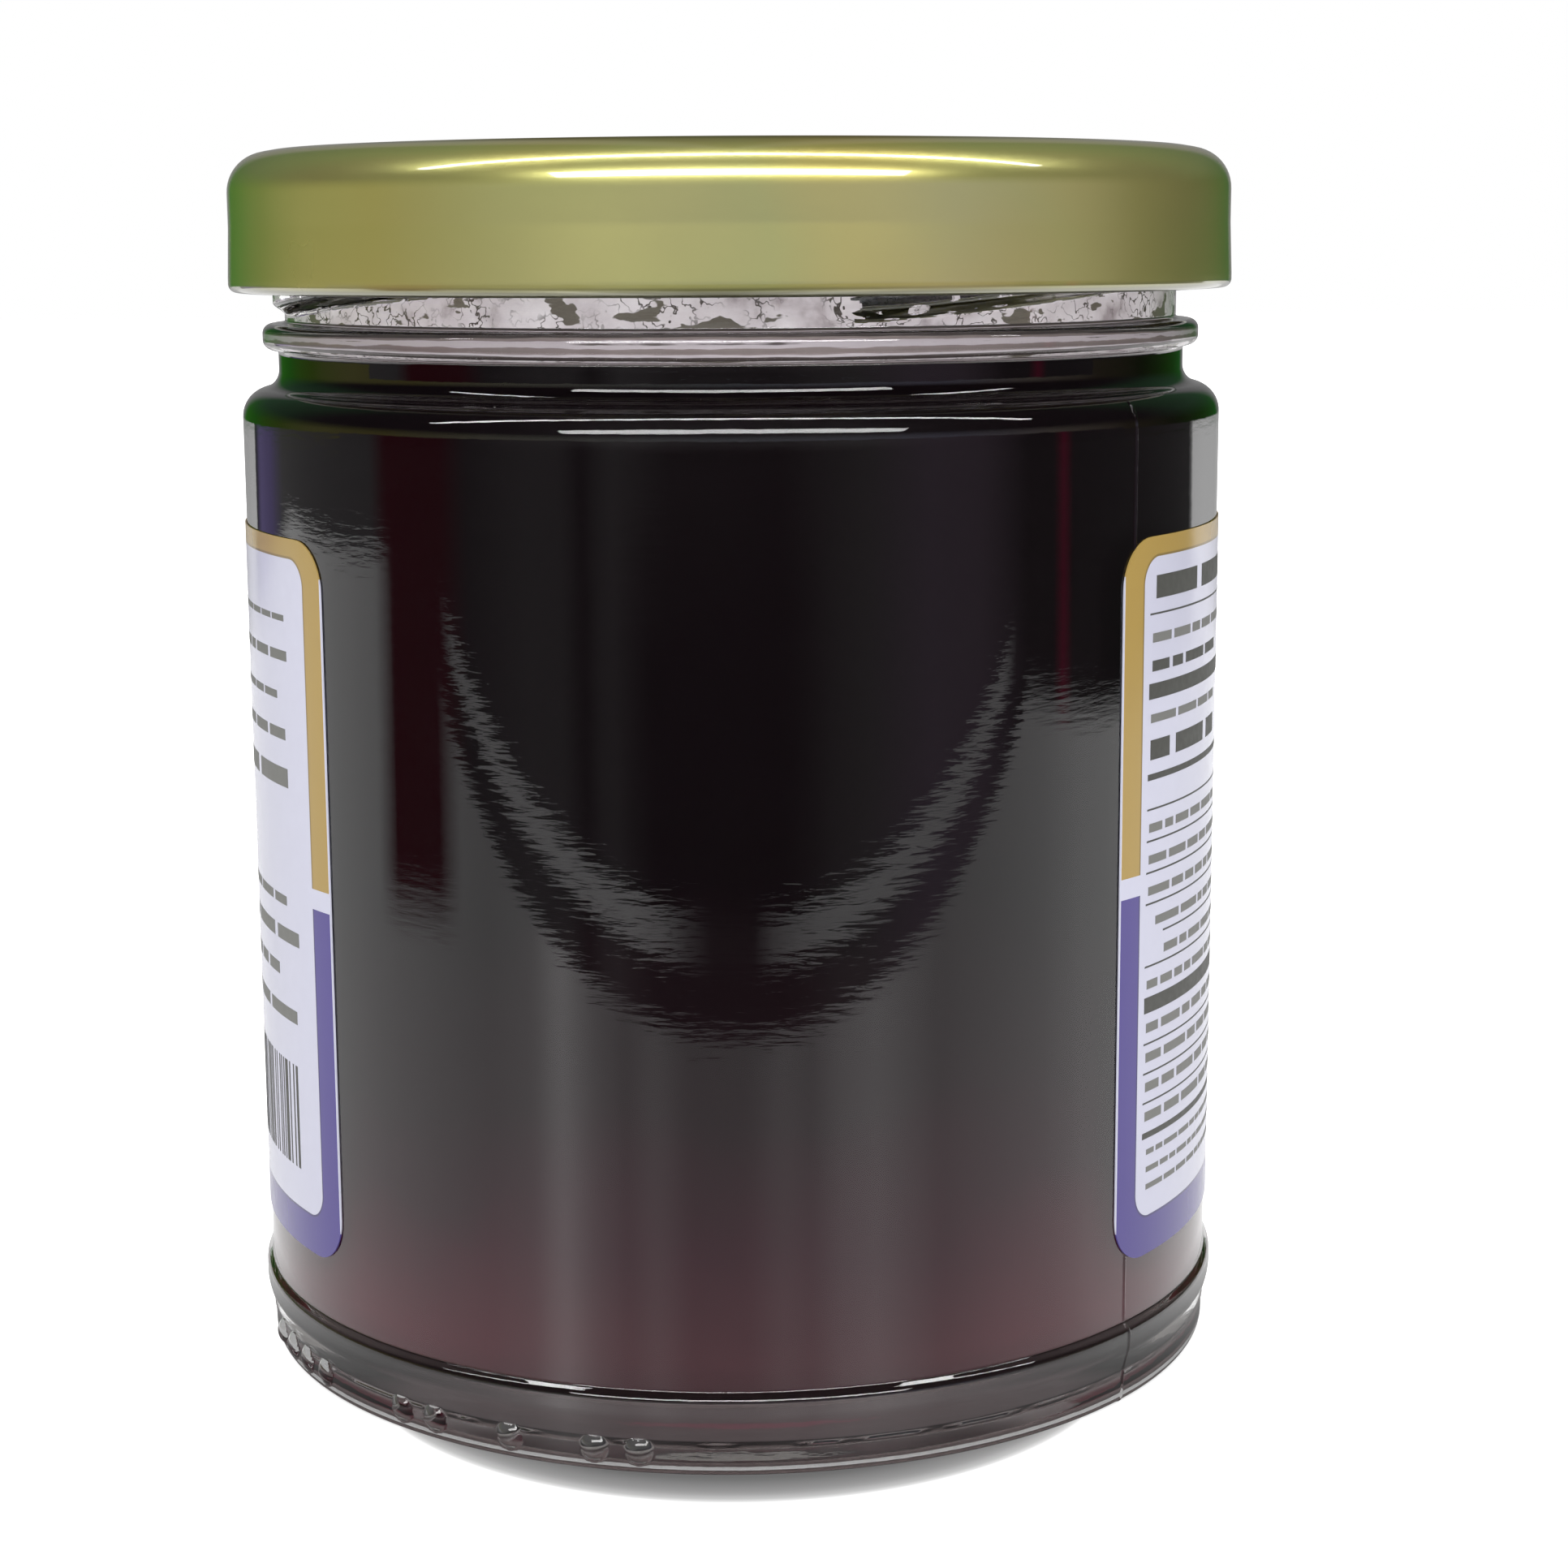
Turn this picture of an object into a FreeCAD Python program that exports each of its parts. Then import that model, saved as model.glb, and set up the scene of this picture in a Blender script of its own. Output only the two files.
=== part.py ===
"""Straight-sided glass jar of dark fruit jelly with a twist-off lid and a wrap label.

Millimetres, +Z up, origin at the centre of the base.  The front of the jar is -Y:
it shows the gap between the two ends of the label.  Angles round the jar are in
degrees from the front, positive towards +X.
"""
import FreeCAD, Part
import math
import os

# ---- Overall ---------------------------------------------------------------------
BODY_DIAMETER = 72.0        # outside of the straight wall
OVERALL_HEIGHT = 88.2       # table to the top of the lid

# ---- Glass: base and heel ----------------------------------------------------------
WALL = 2.0                  # thickness of the straight wall
BASE_THICKNESS = 2.6        # glass between the push-up and the inside floor
PUSH_UP = 1.1               # hollow under the base, at its edge
BASE_CROWN = 0.8            # extra height of push-up and floor at the centre
CROWN_FLAT_R = 9.0          # level middle of the crown
CROWN_ROUND = 40.0          # rounding where the crown starts to fall
BEARING_WIDTH = 3.4         # ring that the jar stands on
BEARING_ROUND = 0.8         # rounding at the inside of that ring
FOOT_INSET = 0.1            # foot inside the straight wall
FOOT_HEIGHT = 2.6           # table to the lower edge of the heel bead
FOOT_ROUND = 0.7            # rounding where the foot meets the table
HEEL_PROUD = 0.5            # heel bead beyond the straight wall
HEEL_BEAD_HEIGHT = 3.5      # heel bead, from its lower edge to the top of its ledge
HEEL_LEDGE_DROP = 0.45      # slope of the ledge
HEEL_BELLY_ROUND = 2.5      # rounding of the heel bead's lower half
HEEL_LEDGE_ROUND = 0.3
INNER_HEEL_ROUND = 3.6      # rounding between the inside wall and the floor

# ---- Glass: mould dots on the foot ---------------------------------------------------
DOT_RADIUS = 1.0
DOT_PROUD = 0.5
DOT_HEIGHT = 1.75           # centre of the dots above the table
DOT_PITCH = 5.0             # degrees between two places for a dot
DOT_FIRST_ANGLE = -71.0
DOT_PLACES = (0, 1, 2, 3, 6, 7, 9, 11, 12)

# ---- Glass: shoulder, neck and finish ------------------------------------------------
SHOULDER_ROUND = 2.3
SHOULDER_FALL = 0.7         # fall of the shoulder from the neck to the wall
NECK_INSET = 2.7            # neck inside the straight wall
NECK_HEIGHT = 2.5           # shoulder to transfer bead
NECK_ROUND = 1.5            # hollow rounding between shoulder and neck
INNER_SHOULDER_DROP = 1.6   # inside shoulder below the outside one
INNER_SHOULDER_ROUND = 3.0
INNER_NECK_RISE = 0.3       # inside corner of the neck above the outside shoulder
BEAD_PROUD = 1.1            # transfer bead beyond the neck
BEAD_HEIGHT = 1.85
BEAD_ROUND = 0.7
BEAD_ROOT_ROUND = 0.35
FINISH_INSET = 3.25         # finish wall inside the straight wall
BEAD_BELOW_LID = 2.25       # transfer bead below the lid's edge
FINISH_WALL = 2.4           # thickness of glass at the mouth
RIM_ROUND = 0.8

# ---- Glass: interrupted threads -------------------------------------------------------
THREAD_STARTS = 4
THREAD_DEPTH = 1.35         # crest beyond the finish wall
THREAD_ROOT = 2.7           # width of a thread at the wall
THREAD_CREST = 1.2          # width of a thread at its crest
THREAD_ROUND = 0.4
THREAD_LEAD = 16.4          # climb in one whole turn
THREAD_FIRST_ANGLE = 10.0   # low end of the first thread
THREAD_ARC = 84.0           # degrees that one thread covers
THREAD_RUNOUT = 10.0        # degrees over which a thread fades into the wall
THREAD_SINK = 0.5           # how far its root is bedded in the wall
THREAD_SECTIONS = 12        # sections that shape one thread

# ---- Jelly -----------------------------------------------------------------------------
FILL_BELOW_RIM = 13.2       # jelly at the wall, below the sealing rim
MENISCUS_HEIGHT = 0.6       # climb of the surface at the wall
MENISCUS_WIDTH = 2.6
JELLY_GAP = 0.02            # keeps the solid just off the glass

# ---- Lid -------------------------------------------------------------------------------
LID_SHEET = 0.25            # lacquered steel
LID_HEIGHT = 10.0
LID_CORNER = 2.9            # rounding between skirt and top
RING_MARGIN = 0.1           # level part of the top ring beyond the sealing ring
RING_FALL = 0.55            # fall of the top from there to its corner
RING_ROUND = 1.5
SKIRT_CLEARANCE = 2.22      # thread crest to the inside of the skirt
CURL_FLARE = 0.14           # rolled edge beyond the skirt
CURL_WIDTH = 1.55
CURL_HEIGHT = 1.65
CURL_ROUND = 0.7
STEP_CLEARANCE = 1.0        # mouth of the jar to the step inside the ring
STEP_RUN = 0.5              # slope of that step
STEP_ROUND = 0.5
PANEL_SINK = 0.85           # middle panel below the ring
BUTTON_RADIUS = 12.0        # vacuum button in the middle panel
BUTTON_RUN = 1.5            # slope round the button
BUTTON_SINK = 0.35
BUTTON_ROUND = 1.5
LUG_ARC = 14.0              # degrees that one lug covers
LUG_ANGLE = 64.0            # from the low end of a thread to the edge of its lug
LUG_HEIGHT = 1.26           # lug's lower end above the lid's edge
LUG_WALL_GAP = 0.6          # lug's nose off the finish wall
LUG_THREAD_GAP = 0.05       # lug's top off the thread above it
LUG_ROUND = 0.3
LUG_SECTIONS = 3            # sections that shape one lug

# ---- Sealing ring ------------------------------------------------------------------------
SEAL_THICKNESS = 0.75
SEAL_OVERHANG = 0.5         # beyond the glass rim on both sides

# ---- Label -------------------------------------------------------------------------------
LABEL_THICKNESS = 0.1
LABEL_GLUE = 0.03
LABEL_FIRST_ANGLE = 46.8    # end of the label at the right of the front
LABEL_LAST_ANGLE = 309.1    # its other end, the long way round the back
LABEL_ABOVE_LEDGE = 4.34    # lower edge above the heel bead's ledge
LABEL_BELOW_SHOULDER = 9.9
LABEL_CORNER = 3.4

# ---- Radii and levels worked out from the sizes above ---------------------------------------
BODY_R = BODY_DIAMETER / 2
CAVITY_R = BODY_R - WALL
FOOT_R = BODY_R - FOOT_INSET
HEEL_R = BODY_R + HEEL_PROUD
NECK_R = BODY_R - NECK_INSET
BEAD_R = NECK_R + BEAD_PROUD
FINISH_R = BODY_R - FINISH_INSET
MOUTH_R = FINISH_R - FINISH_WALL
SKIRT_R = FINISH_R + THREAD_DEPTH + SKIRT_CLEARANCE + LID_SHEET
CURL_R = SKIRT_R + CURL_FLARE
STEP_R = MOUTH_R - STEP_CLEARANCE
RING_FLAT_R = FINISH_R + SEAL_OVERHANG + RING_MARGIN

RING_Z = OVERALL_HEIGHT - LID_SHEET
RIM_Z = RING_Z - SEAL_THICKNESS
LID_BOTTOM_Z = OVERALL_HEIGHT - LID_HEIGHT
BEAD_TOP_Z = LID_BOTTOM_Z - BEAD_BELOW_LID
BEAD_BOTTOM_Z = BEAD_TOP_Z - BEAD_HEIGHT
SHOULDER_Z = BEAD_BOTTOM_Z - NECK_HEIGHT
LEDGE_Z = FOOT_HEIGHT + HEEL_BEAD_HEIGHT
FLOOR_Z = PUSH_UP + BASE_THICKNESS
FILL_Z = RIM_Z - FILL_BELOW_RIM
PANEL_Z = OVERALL_HEIGHT - PANEL_SINK
LABEL_BOTTOM_Z = LEDGE_Z + LABEL_ABOVE_LEDGE
LABEL_TOP_Z = SHOULDER_Z - LABEL_BELOW_SHOULDER

FULL_TURN = 360.0
MOST_OF_SIDE = 0.96         # most of a side that the rounded corners at its ends may take
TINY = 1e-6
ORIGIN = FreeCAD.Vector(0, 0, 0)
UP = FreeCAD.Vector(0, 0, 1)
FRONT = FreeCAD.Vector(0, -1, 0)

# The threads sit where the lugs' tops bear on their lower flanks.
THREAD_SLOPE = (THREAD_ROOT - THREAD_CREST) / 2 / THREAD_DEPTH   # flank, height by depth
UNDER_THREAD = THREAD_ROOT / 2 - THREAD_SLOPE * LUG_WALL_GAP + LUG_THREAD_GAP
THREAD_LOW_Z = (LID_BOTTOM_Z + LUG_HEIGHT + UNDER_THREAD
                - THREAD_LEAD * LUG_ANGLE / FULL_TURN)


# ---- Outlines --------------------------------------------------------------------------------
def half_angle(before, corner, after):
    """Half the angle between the two sides that meet at a corner."""
    return (before - corner).getAngle(after - corner) / 2


def rounded_corner(before, corner, after, reach):
    """Start, middle and end of the arc that takes a reach of both sides of a corner."""
    half = half_angle(before, corner, after)
    back = (before - corner).normalize()
    ahead = (after - corner).normalize()
    inward = (back + ahead).normalize()
    radius = reach * math.tan(half)
    middle = corner + inward * (radius / math.sin(half) - radius)
    return corner + back * reach, middle, corner + ahead * reach


def rounded_wire(points, fillets):
    """Closed wire through points, each rounded by its own fillet (0 keeps it sharp).

    Two roundings that would meet on a side both shrink alike.
    """
    befores = points[-1:] + points[:-1]
    afters = points[1:] + points[:1]
    corners = list(zip(befores, points, afters))
    reaches = [fillet / math.tan(half_angle(*corner)) for corner, fillet in zip(corners, fillets)]
    rooms = []
    for point, after, reach, next_reach in zip(points, afters, reaches, reaches[1:] + reaches[:1]):
        room = MOST_OF_SIDE * point.distanceToPoint(after)
        rooms.append(room / max(reach + next_reach, room))
    stretches = []
    for index, corner in enumerate(corners):
        reach = reaches[index] * min(rooms[index - 1], rooms[index])
        stretches.append(rounded_corner(*corner, reach) if reach > 0 else (points[index],))
    edges = []
    for index, stretch in enumerate(stretches):
        if len(stretch) > 1:
            edges.append(Part.Arc(*stretch).toShape())
        following = stretches[(index + 1) % len(stretches)][0]
        if stretch[-1].distanceToPoint(following) > TINY:
            edges.append(Part.LineSegment(stretch[-1], following).toShape())
    return Part.Wire(edges)


def turned(corners):
    """Solid of revolution about Z from (radius, height, fillet) corners."""
    points = [FreeCAD.Vector(radius, 0, height) for radius, height, fillet in corners]
    wire = rounded_wire(points, [fillet for radius, height, fillet in corners])
    return Part.Face(wire).revolve(ORIGIN, UP, FULL_TURN)


def offset_right(path, distance):
    """Open path of (radius, height, fillet) corners moved to its right, bends included."""
    starts = []
    runs = []
    for (r1, z1, _), (r2, z2, _) in zip(path, path[1:]):
        length = math.hypot(r2 - r1, z2 - z1)
        right = FreeCAD.Vector(z2 - z1, 0, r1 - r2) * (distance / length)
        starts.append(FreeCAD.Vector(r1, 0, z1) + right)
        runs.append(FreeCAD.Vector(r2 - r1, 0, z2 - z1))
    moved = [(starts[0].x, starts[0].z, 0)]
    for index, (_, _, fillet) in enumerate(path[1:-1]):
        run, next_run = runs[index], runs[index + 1]
        gap = starts[index + 1] - starts[index]
        turn = run.x * next_run.z - run.z * next_run.x
        along = (gap.x * next_run.z - gap.z * next_run.x) / turn
        corner = starts[index] + run * along
        moved.append((corner.x, corner.z, fillet + math.copysign(distance, turn)))
    end = starts[-1] + runs[-1]
    moved.append((end.x, end.z, 0))
    return moved


def ridge(angles, section):
    """Solid lofted through closed sections that stand at the given angles."""
    return Part.makeLoft([section(angle) for angle in angles], True, False)


def radial_wire(angle, corners):
    """Closed rounded wire in the upright plane at an angle from the front."""
    turn = math.radians(angle)
    outward = FreeCAD.Vector(math.sin(turn), -math.cos(turn), 0)
    points = [outward * radius + UP * height for radius, height, fillet in corners]
    return rounded_wire(points, [fillet for radius, height, fillet in corners])


def spread(first, span, count):
    """Evenly spaced values from first to first + span."""
    return [first + span * index / (count - 1) for index in range(count)]


# ---- Glass -------------------------------------------------------------------------------------
def cavity_corners(gap):
    """Inside of the jar from the middle of the floor to the mouth, drawn in by a gap."""
    return [
        (0, FLOOR_Z + BASE_CROWN + gap, 0),
        (CROWN_FLAT_R, FLOOR_Z + BASE_CROWN + gap, CROWN_ROUND),
        (CAVITY_R - gap, FLOOR_Z + gap, INNER_HEEL_ROUND),
        (CAVITY_R - gap, SHOULDER_Z - INNER_SHOULDER_DROP - gap, INNER_SHOULDER_ROUND),
        (NECK_R - FINISH_WALL - gap, SHOULDER_Z + INNER_NECK_RISE - gap, INNER_SHOULDER_ROUND),
        (MOUTH_R - gap, BEAD_TOP_Z, INNER_SHOULDER_ROUND),
        (MOUTH_R - gap, RIM_Z, RIM_ROUND),
    ]


def outside_corners():
    """Outside of the jar from the middle of the base to the sealing rim."""
    base = [
        (0, PUSH_UP + BASE_CROWN, 0),
        (CROWN_FLAT_R, PUSH_UP + BASE_CROWN, CROWN_ROUND),
        (FOOT_R - BEARING_WIDTH - PUSH_UP, PUSH_UP, BEARING_ROUND),
        (FOOT_R - BEARING_WIDTH, 0, BEARING_ROUND),
        (FOOT_R, 0, FOOT_ROUND),
    ]
    heel = [
        (BODY_R, FOOT_HEIGHT, HEEL_LEDGE_ROUND),
        (HEEL_R, FOOT_HEIGHT + HEEL_BEAD_HEIGHT / 2, HEEL_BELLY_ROUND),
        (HEEL_R, LEDGE_Z - HEEL_LEDGE_DROP, HEEL_LEDGE_ROUND),
        (BODY_R, LEDGE_Z, HEEL_LEDGE_ROUND),
    ]
    shoulder = [
        (BODY_R, SHOULDER_Z - SHOULDER_FALL, SHOULDER_ROUND),
        (NECK_R, SHOULDER_Z, NECK_ROUND),
        (NECK_R, BEAD_BOTTOM_Z, BEAD_ROOT_ROUND),
    ]
    finish = [
        (BEAD_R, BEAD_BOTTOM_Z, BEAD_ROUND),
        (BEAD_R, BEAD_TOP_Z, BEAD_ROUND),
        (FINISH_R, BEAD_TOP_Z, BEAD_ROOT_ROUND),
        (FINISH_R, RIM_Z, RIM_ROUND),
    ]
    return base + heel + shoulder + finish


def thread_height(turned_by):
    """Middle of a thread, at an angle from its low end."""
    return THREAD_LOW_Z + THREAD_LEAD * turned_by / FULL_TURN


def thread_section(start):
    """Section function of the thread whose low end is at the given angle."""
    def section(angle):
        from_end = min(angle - start, start + THREAD_ARC - angle)
        fade = math.sin(math.pi / 2 * min(from_end / THREAD_RUNOUT, 1))
        depth = THREAD_DEPTH * fade - THREAD_SINK * (1 - fade) / 2
        crest = THREAD_CREST / 2 * (1 + fade) / 2
        bedded = crest + THREAD_SLOPE * (depth + THREAD_SINK)
        middle = thread_height(angle - start)
        bottom_r = FINISH_R - THREAD_SINK
        return radial_wire(angle, [
            (bottom_r, middle - bedded, 0),
            (FINISH_R + depth, middle - crest, THREAD_ROUND),
            (FINISH_R + depth, middle + crest, THREAD_ROUND),
            (bottom_r, middle + bedded, 0),
        ])
    return section


def thread_starts():
    """Angle of each thread's low end."""
    return [THREAD_FIRST_ANGLE + FULL_TURN * index / THREAD_STARTS for index in range(THREAD_STARTS)]


def threads():
    """The interrupted threads that the lid's lugs grip."""
    solids = []
    for start in thread_starts():
        angles = spread(start, THREAD_ARC, THREAD_SECTIONS)
        solids.append(ridge(angles, thread_section(start)))
    return solids


def mould_dots():
    """Rounded dots on the foot, cut from spheres that the wall swallows."""
    sphere_r = (DOT_RADIUS ** 2 + DOT_PROUD ** 2) / (2 * DOT_PROUD)
    centre_r = FOOT_R + DOT_PROUD - sphere_r
    solids = []
    for place in DOT_PLACES:
        turn = math.radians(DOT_FIRST_ANGLE + DOT_PITCH * place)
        centre = FreeCAD.Vector(centre_r * math.sin(turn), -centre_r * math.cos(turn), DOT_HEIGHT)
        solids.append(Part.makeSphere(sphere_r, centre))
    return solids


def jar_glass():
    """Jar in one piece: base, wall, shoulder, transfer bead, threaded finish and dots."""
    cavity = cavity_corners(0)
    jar = turned(outside_corners() + cavity[::-1])
    return jar.fuse(threads() + mould_dots()).removeSplitter()


# ---- Contents ------------------------------------------------------------------------------------
def jelly():
    """Jelly that fills the jar up to the neck, with a surface that climbs at the wall."""
    filling = turned(cavity_corners(JELLY_GAP) + [(0, RIM_Z, 0)])
    surface = FILL_Z - MENISCUS_HEIGHT
    still_r = MOUTH_R - MENISCUS_WIDTH
    air = turned([
        (0, surface, 0),
        (still_r, surface, MENISCUS_WIDTH),
        (BODY_R, FILL_Z + MENISCUS_HEIGHT * (BODY_R - MOUTH_R) / MENISCUS_WIDTH, 0),
        (BODY_R, OVERALL_HEIGHT, 0),
        (0, OVERALL_HEIGHT, 0),
    ])
    return filling.cut(air)


# ---- Lid -----------------------------------------------------------------------------------------
def lid_top_path():
    """Outer face of the lid's sheet, from the middle of the top down to its rolled edge."""
    button_z = PANEL_Z - BUTTON_SINK
    return [
        (0, button_z, 0),
        (BUTTON_RADIUS - BUTTON_RUN, button_z, BUTTON_ROUND),
        (BUTTON_RADIUS, PANEL_Z, BUTTON_ROUND),
        (STEP_R - STEP_RUN - LID_SHEET, PANEL_Z, STEP_ROUND),
        (STEP_R - LID_SHEET, OVERALL_HEIGHT, STEP_ROUND),
        (RING_FLAT_R, OVERALL_HEIGHT, RING_ROUND),
        (SKIRT_R, OVERALL_HEIGHT - RING_FALL, LID_CORNER),
        (SKIRT_R, LID_BOTTOM_Z + CURL_HEIGHT, 0),
    ]


def rolled_edge_corners():
    """Edge of the sheet, rolled inwards tight enough to be solid."""
    return [
        (CURL_R, LID_BOTTOM_Z + CURL_HEIGHT / 2, CURL_ROUND),
        (CURL_R, LID_BOTTOM_Z, CURL_ROUND),
        (CURL_R - CURL_WIDTH, LID_BOTTOM_Z, CURL_ROUND),
        (CURL_R - CURL_WIDTH, LID_BOTTOM_Z + CURL_HEIGHT, CURL_ROUND),
    ]


def lug(start):
    """Lug under the thread whose low end is at the given angle."""
    nose_r = FINISH_R + LUG_WALL_GAP
    root_r = CURL_R - CURL_WIDTH / 2

    def section(angle):
        top = thread_height(angle - start) - UNDER_THREAD
        return radial_wire(angle, [
            (root_r, LID_BOTTOM_Z + LID_SHEET / 2, 0),
            (nose_r, LID_BOTTOM_Z + LID_SHEET / 2, LUG_ROUND),
            (nose_r, top, LUG_ROUND),
            (root_r, top, 0),
        ])
    return ridge(spread(start + LUG_ANGLE, LUG_ARC, LUG_SECTIONS), section)


def lid():
    """Twist-off lid of thin sheet with a rolled edge and a lug for each thread."""
    outer = lid_top_path()
    inner = offset_right(outer, LID_SHEET)
    shell = turned(outer + rolled_edge_corners() + inner[::-1])
    return shell.fuse([lug(start) for start in thread_starts()]).removeSplitter()


def lid_seal():
    """Moulded-in ring that the glass rim presses against."""
    inner_r = MOUTH_R - SEAL_OVERHANG
    outer_r = FINISH_R + SEAL_OVERHANG
    return turned([
        (inner_r, RIM_Z, 0),
        (outer_r, RIM_Z, 0),
        (outer_r, RING_Z, 0),
        (inner_r, RING_Z, 0),
    ])


# ---- Label ---------------------------------------------------------------------------------------
def label_corner(angle, height, sideways, upwards):
    """What is cut off one corner: a radial block less a round bar.

    sideways and upwards are 1 or -1, from the corner of the sheet to its middle.
    """
    depth = BODY_R
    centre = FreeCAD.Vector(0, 0, height + upwards * LABEL_CORNER)
    block = Part.makeBox(2 * LABEL_CORNER, depth, 2 * LABEL_CORNER)
    block.translate(FreeCAD.Vector(-LABEL_CORNER * (1 + sideways), -BODY_R - depth / 2, 0))
    block.translate(centre - UP * LABEL_CORNER * (1 + upwards))
    bar = Part.makeCylinder(LABEL_CORNER, 2 * depth, centre, FRONT)
    tool = block.cut(bar)
    inset = math.degrees(LABEL_CORNER / BODY_R)
    tool.rotate(ORIGIN, UP, angle + sideways * inset)
    return tool


def label():
    """Paper sheet with rounded corners, wrapped round the back of the straight wall."""
    inner_r = BODY_R + LABEL_GLUE
    span = LABEL_LAST_ANGLE - LABEL_FIRST_ANGLE
    height = LABEL_TOP_Z - LABEL_BOTTOM_Z
    corner = FreeCAD.Vector(0, 0, LABEL_BOTTOM_Z)
    sheet = Part.makeCylinder(inner_r + LABEL_THICKNESS, height, corner, UP, span)
    sheet = sheet.cut(Part.makeCylinder(inner_r, height, corner, UP))
    sheet.rotate(ORIGIN, UP, LABEL_FIRST_ANGLE - FULL_TURN / 4)
    for angle, sideways in ((LABEL_FIRST_ANGLE, 1), (LABEL_LAST_ANGLE, -1)):
        for level, upwards in ((LABEL_BOTTOM_Z, 1), (LABEL_TOP_Z, -1)):
            sheet = sheet.cut(label_corner(angle, level, sideways, upwards))
    return sheet


# ---- Files ---------------------------------------------------------------------------------------
def main():
    """Write one STEP file for each piece."""
    os.makedirs("parts", exist_ok=True)
    for piece in (jar_glass, jelly, lid, lid_seal, label):
        shape = piece()
        name = piece.__name__
        shape.exportStep(os.path.join("parts", name + ".step"))
        box = shape.BoundBox
        print(f"{name}: solids {len(shape.Solids)}, valid {shape.isValid()}, "
              f"volume {shape.Volume:.1f} mm3, z {box.ZMin:.3f} to {box.ZMax:.3f}, "
              f"width {box.XLength:.3f} by {box.YLength:.3f} mm")


main()
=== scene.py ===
"""Looks of the jar of jelly: clear glass, dark jelly, gold twist-off lid and a two-tone wrap label.

Meshes are worked out in millimetres and scaled to metres.  +Z is up and the front of the jar,
the gap between the ends of the label, is -Y.  Angles go round from the front, positive to +X.
"""
import bpy
import math
import random
from mathutils import Matrix, Vector, noise


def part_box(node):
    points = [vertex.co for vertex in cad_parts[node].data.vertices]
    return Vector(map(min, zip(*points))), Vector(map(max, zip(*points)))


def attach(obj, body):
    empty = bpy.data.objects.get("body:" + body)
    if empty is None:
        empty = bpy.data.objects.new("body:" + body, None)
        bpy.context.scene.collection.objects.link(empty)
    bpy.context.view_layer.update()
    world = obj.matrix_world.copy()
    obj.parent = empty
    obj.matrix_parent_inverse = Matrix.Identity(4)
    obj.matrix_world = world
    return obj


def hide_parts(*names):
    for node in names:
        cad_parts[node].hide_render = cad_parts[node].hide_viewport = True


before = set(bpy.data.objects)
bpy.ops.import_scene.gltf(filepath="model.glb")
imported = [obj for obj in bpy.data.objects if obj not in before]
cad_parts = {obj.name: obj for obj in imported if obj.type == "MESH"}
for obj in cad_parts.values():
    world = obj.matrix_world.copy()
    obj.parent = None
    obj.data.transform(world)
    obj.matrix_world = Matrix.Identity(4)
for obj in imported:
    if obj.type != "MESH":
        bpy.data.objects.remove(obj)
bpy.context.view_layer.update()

MM = 0.001
FULL_TURN = 360.0
SEED = 11
MOST_OF_SIDE = 0.96         # most of a side that the roundings at its ends may take
CLOSEST_ANGLES = 0.04       # degrees between two columns of faces, at least


# ---- Sizes read from the frame ----
def box_mm(node):
    """Lowest and highest corner of a CAD node in millimetres."""
    low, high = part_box(node)
    return Vector(low) / MM, Vector(high) / MM


GLASS_HIGH = box_mm("jar_glass")[1]
LID_LOW, LID_HIGH = box_mm("lid")
LABEL_LOW, LABEL_HIGH = box_mm("label")

# ---- Sizes of the glass ----
HEEL_PROUD = 0.5
HEEL_R = GLASS_HIGH.x
BODY_R = HEEL_R - HEEL_PROUD
WALL = 2.0
CAVITY_R = BODY_R - WALL
FOOT_R = BODY_R - 0.1
NECK_R = BODY_R - 2.7
BEAD_R = NECK_R + 1.1
FINISH_R = BODY_R - 3.25
MOUTH_R = FINISH_R - 2.4
RIM_Z = GLASS_HIGH.z
RIM_ROUND = 0.8
LID_EDGE_Z = LID_LOW.z
BEAD_TOP_Z = LID_EDGE_Z - 2.25
BEAD_BOTTOM_Z = BEAD_TOP_Z - 1.85
SHOULDER_Z = BEAD_BOTTOM_Z - 2.5
SHOULDER_FALL = 0.7
LEDGE_Z = 6.1               # top of the heel bead
HEEL_LOW_Z = 4.35
FOOT_Z = 2.6
BEARING_R = 32.5            # ring that the jar stands on
PUSH_UP_R = 31.4
PUSH_UP_LOW_Z = 1.1
PUSH_UP_Z = 1.9
FLOOR_Z = 3.7
FLOOR_CORNER = 3.6
DOME_R = 9.0                # inside this radius the floor and the push-up are nearly flat
DOME_Z = FLOOR_Z + 0.8
DOME_ROUND = 40.0
INNER_ROUND = 3.0
INNER_SHOULDER_Z = SHOULDER_Z - 1.6
INNER_NECK_R = NECK_R - 2.4
INNER_NECK_Z = SHOULDER_Z + 0.3
FILL_Z = RIM_Z - 13.2
MENISCUS = 0.6

THREAD_COUNT = 4
THREAD_PITCH = FULL_TURN / THREAD_COUNT
THREAD_FIRST = 10.0
THREAD_ARC = 84.0
THREAD_RUNOUT = 10.0
THREAD_DEPTH = 1.35
THREAD_HALF_CREST = 0.6
THREAD_HALF_ROOT = 1.35
THREAD_LEAD = 16.4
THREAD_LOW_Z = LID_EDGE_Z - 0.59

DOT_R = 1.0
DOT_PROUD = 0.5
DOT_Z = 1.75
DOT_FIRST = -71.0
DOT_PITCH = 5.0
DOT_PLACES = (0, 1, 2, 3, 6, 7, 9, 11, 12)
DOT_ANGLES = [DOT_FIRST + DOT_PITCH * place for place in DOT_PLACES]

SEAM_ANGLES = (49.0, -131.0)
SEAM_PROUD = 0.10
SEAM_HALF_WIDTH = 0.30      # degrees
PARTING_Z = 2.35            # seam where the base mould meets the body mould
PARTING_PROUD = 0.08
PARTING_HALF_WIDTH = 0.14
FOOT_DETAIL_Z = 0.6         # dots and parting line are above this height

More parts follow.
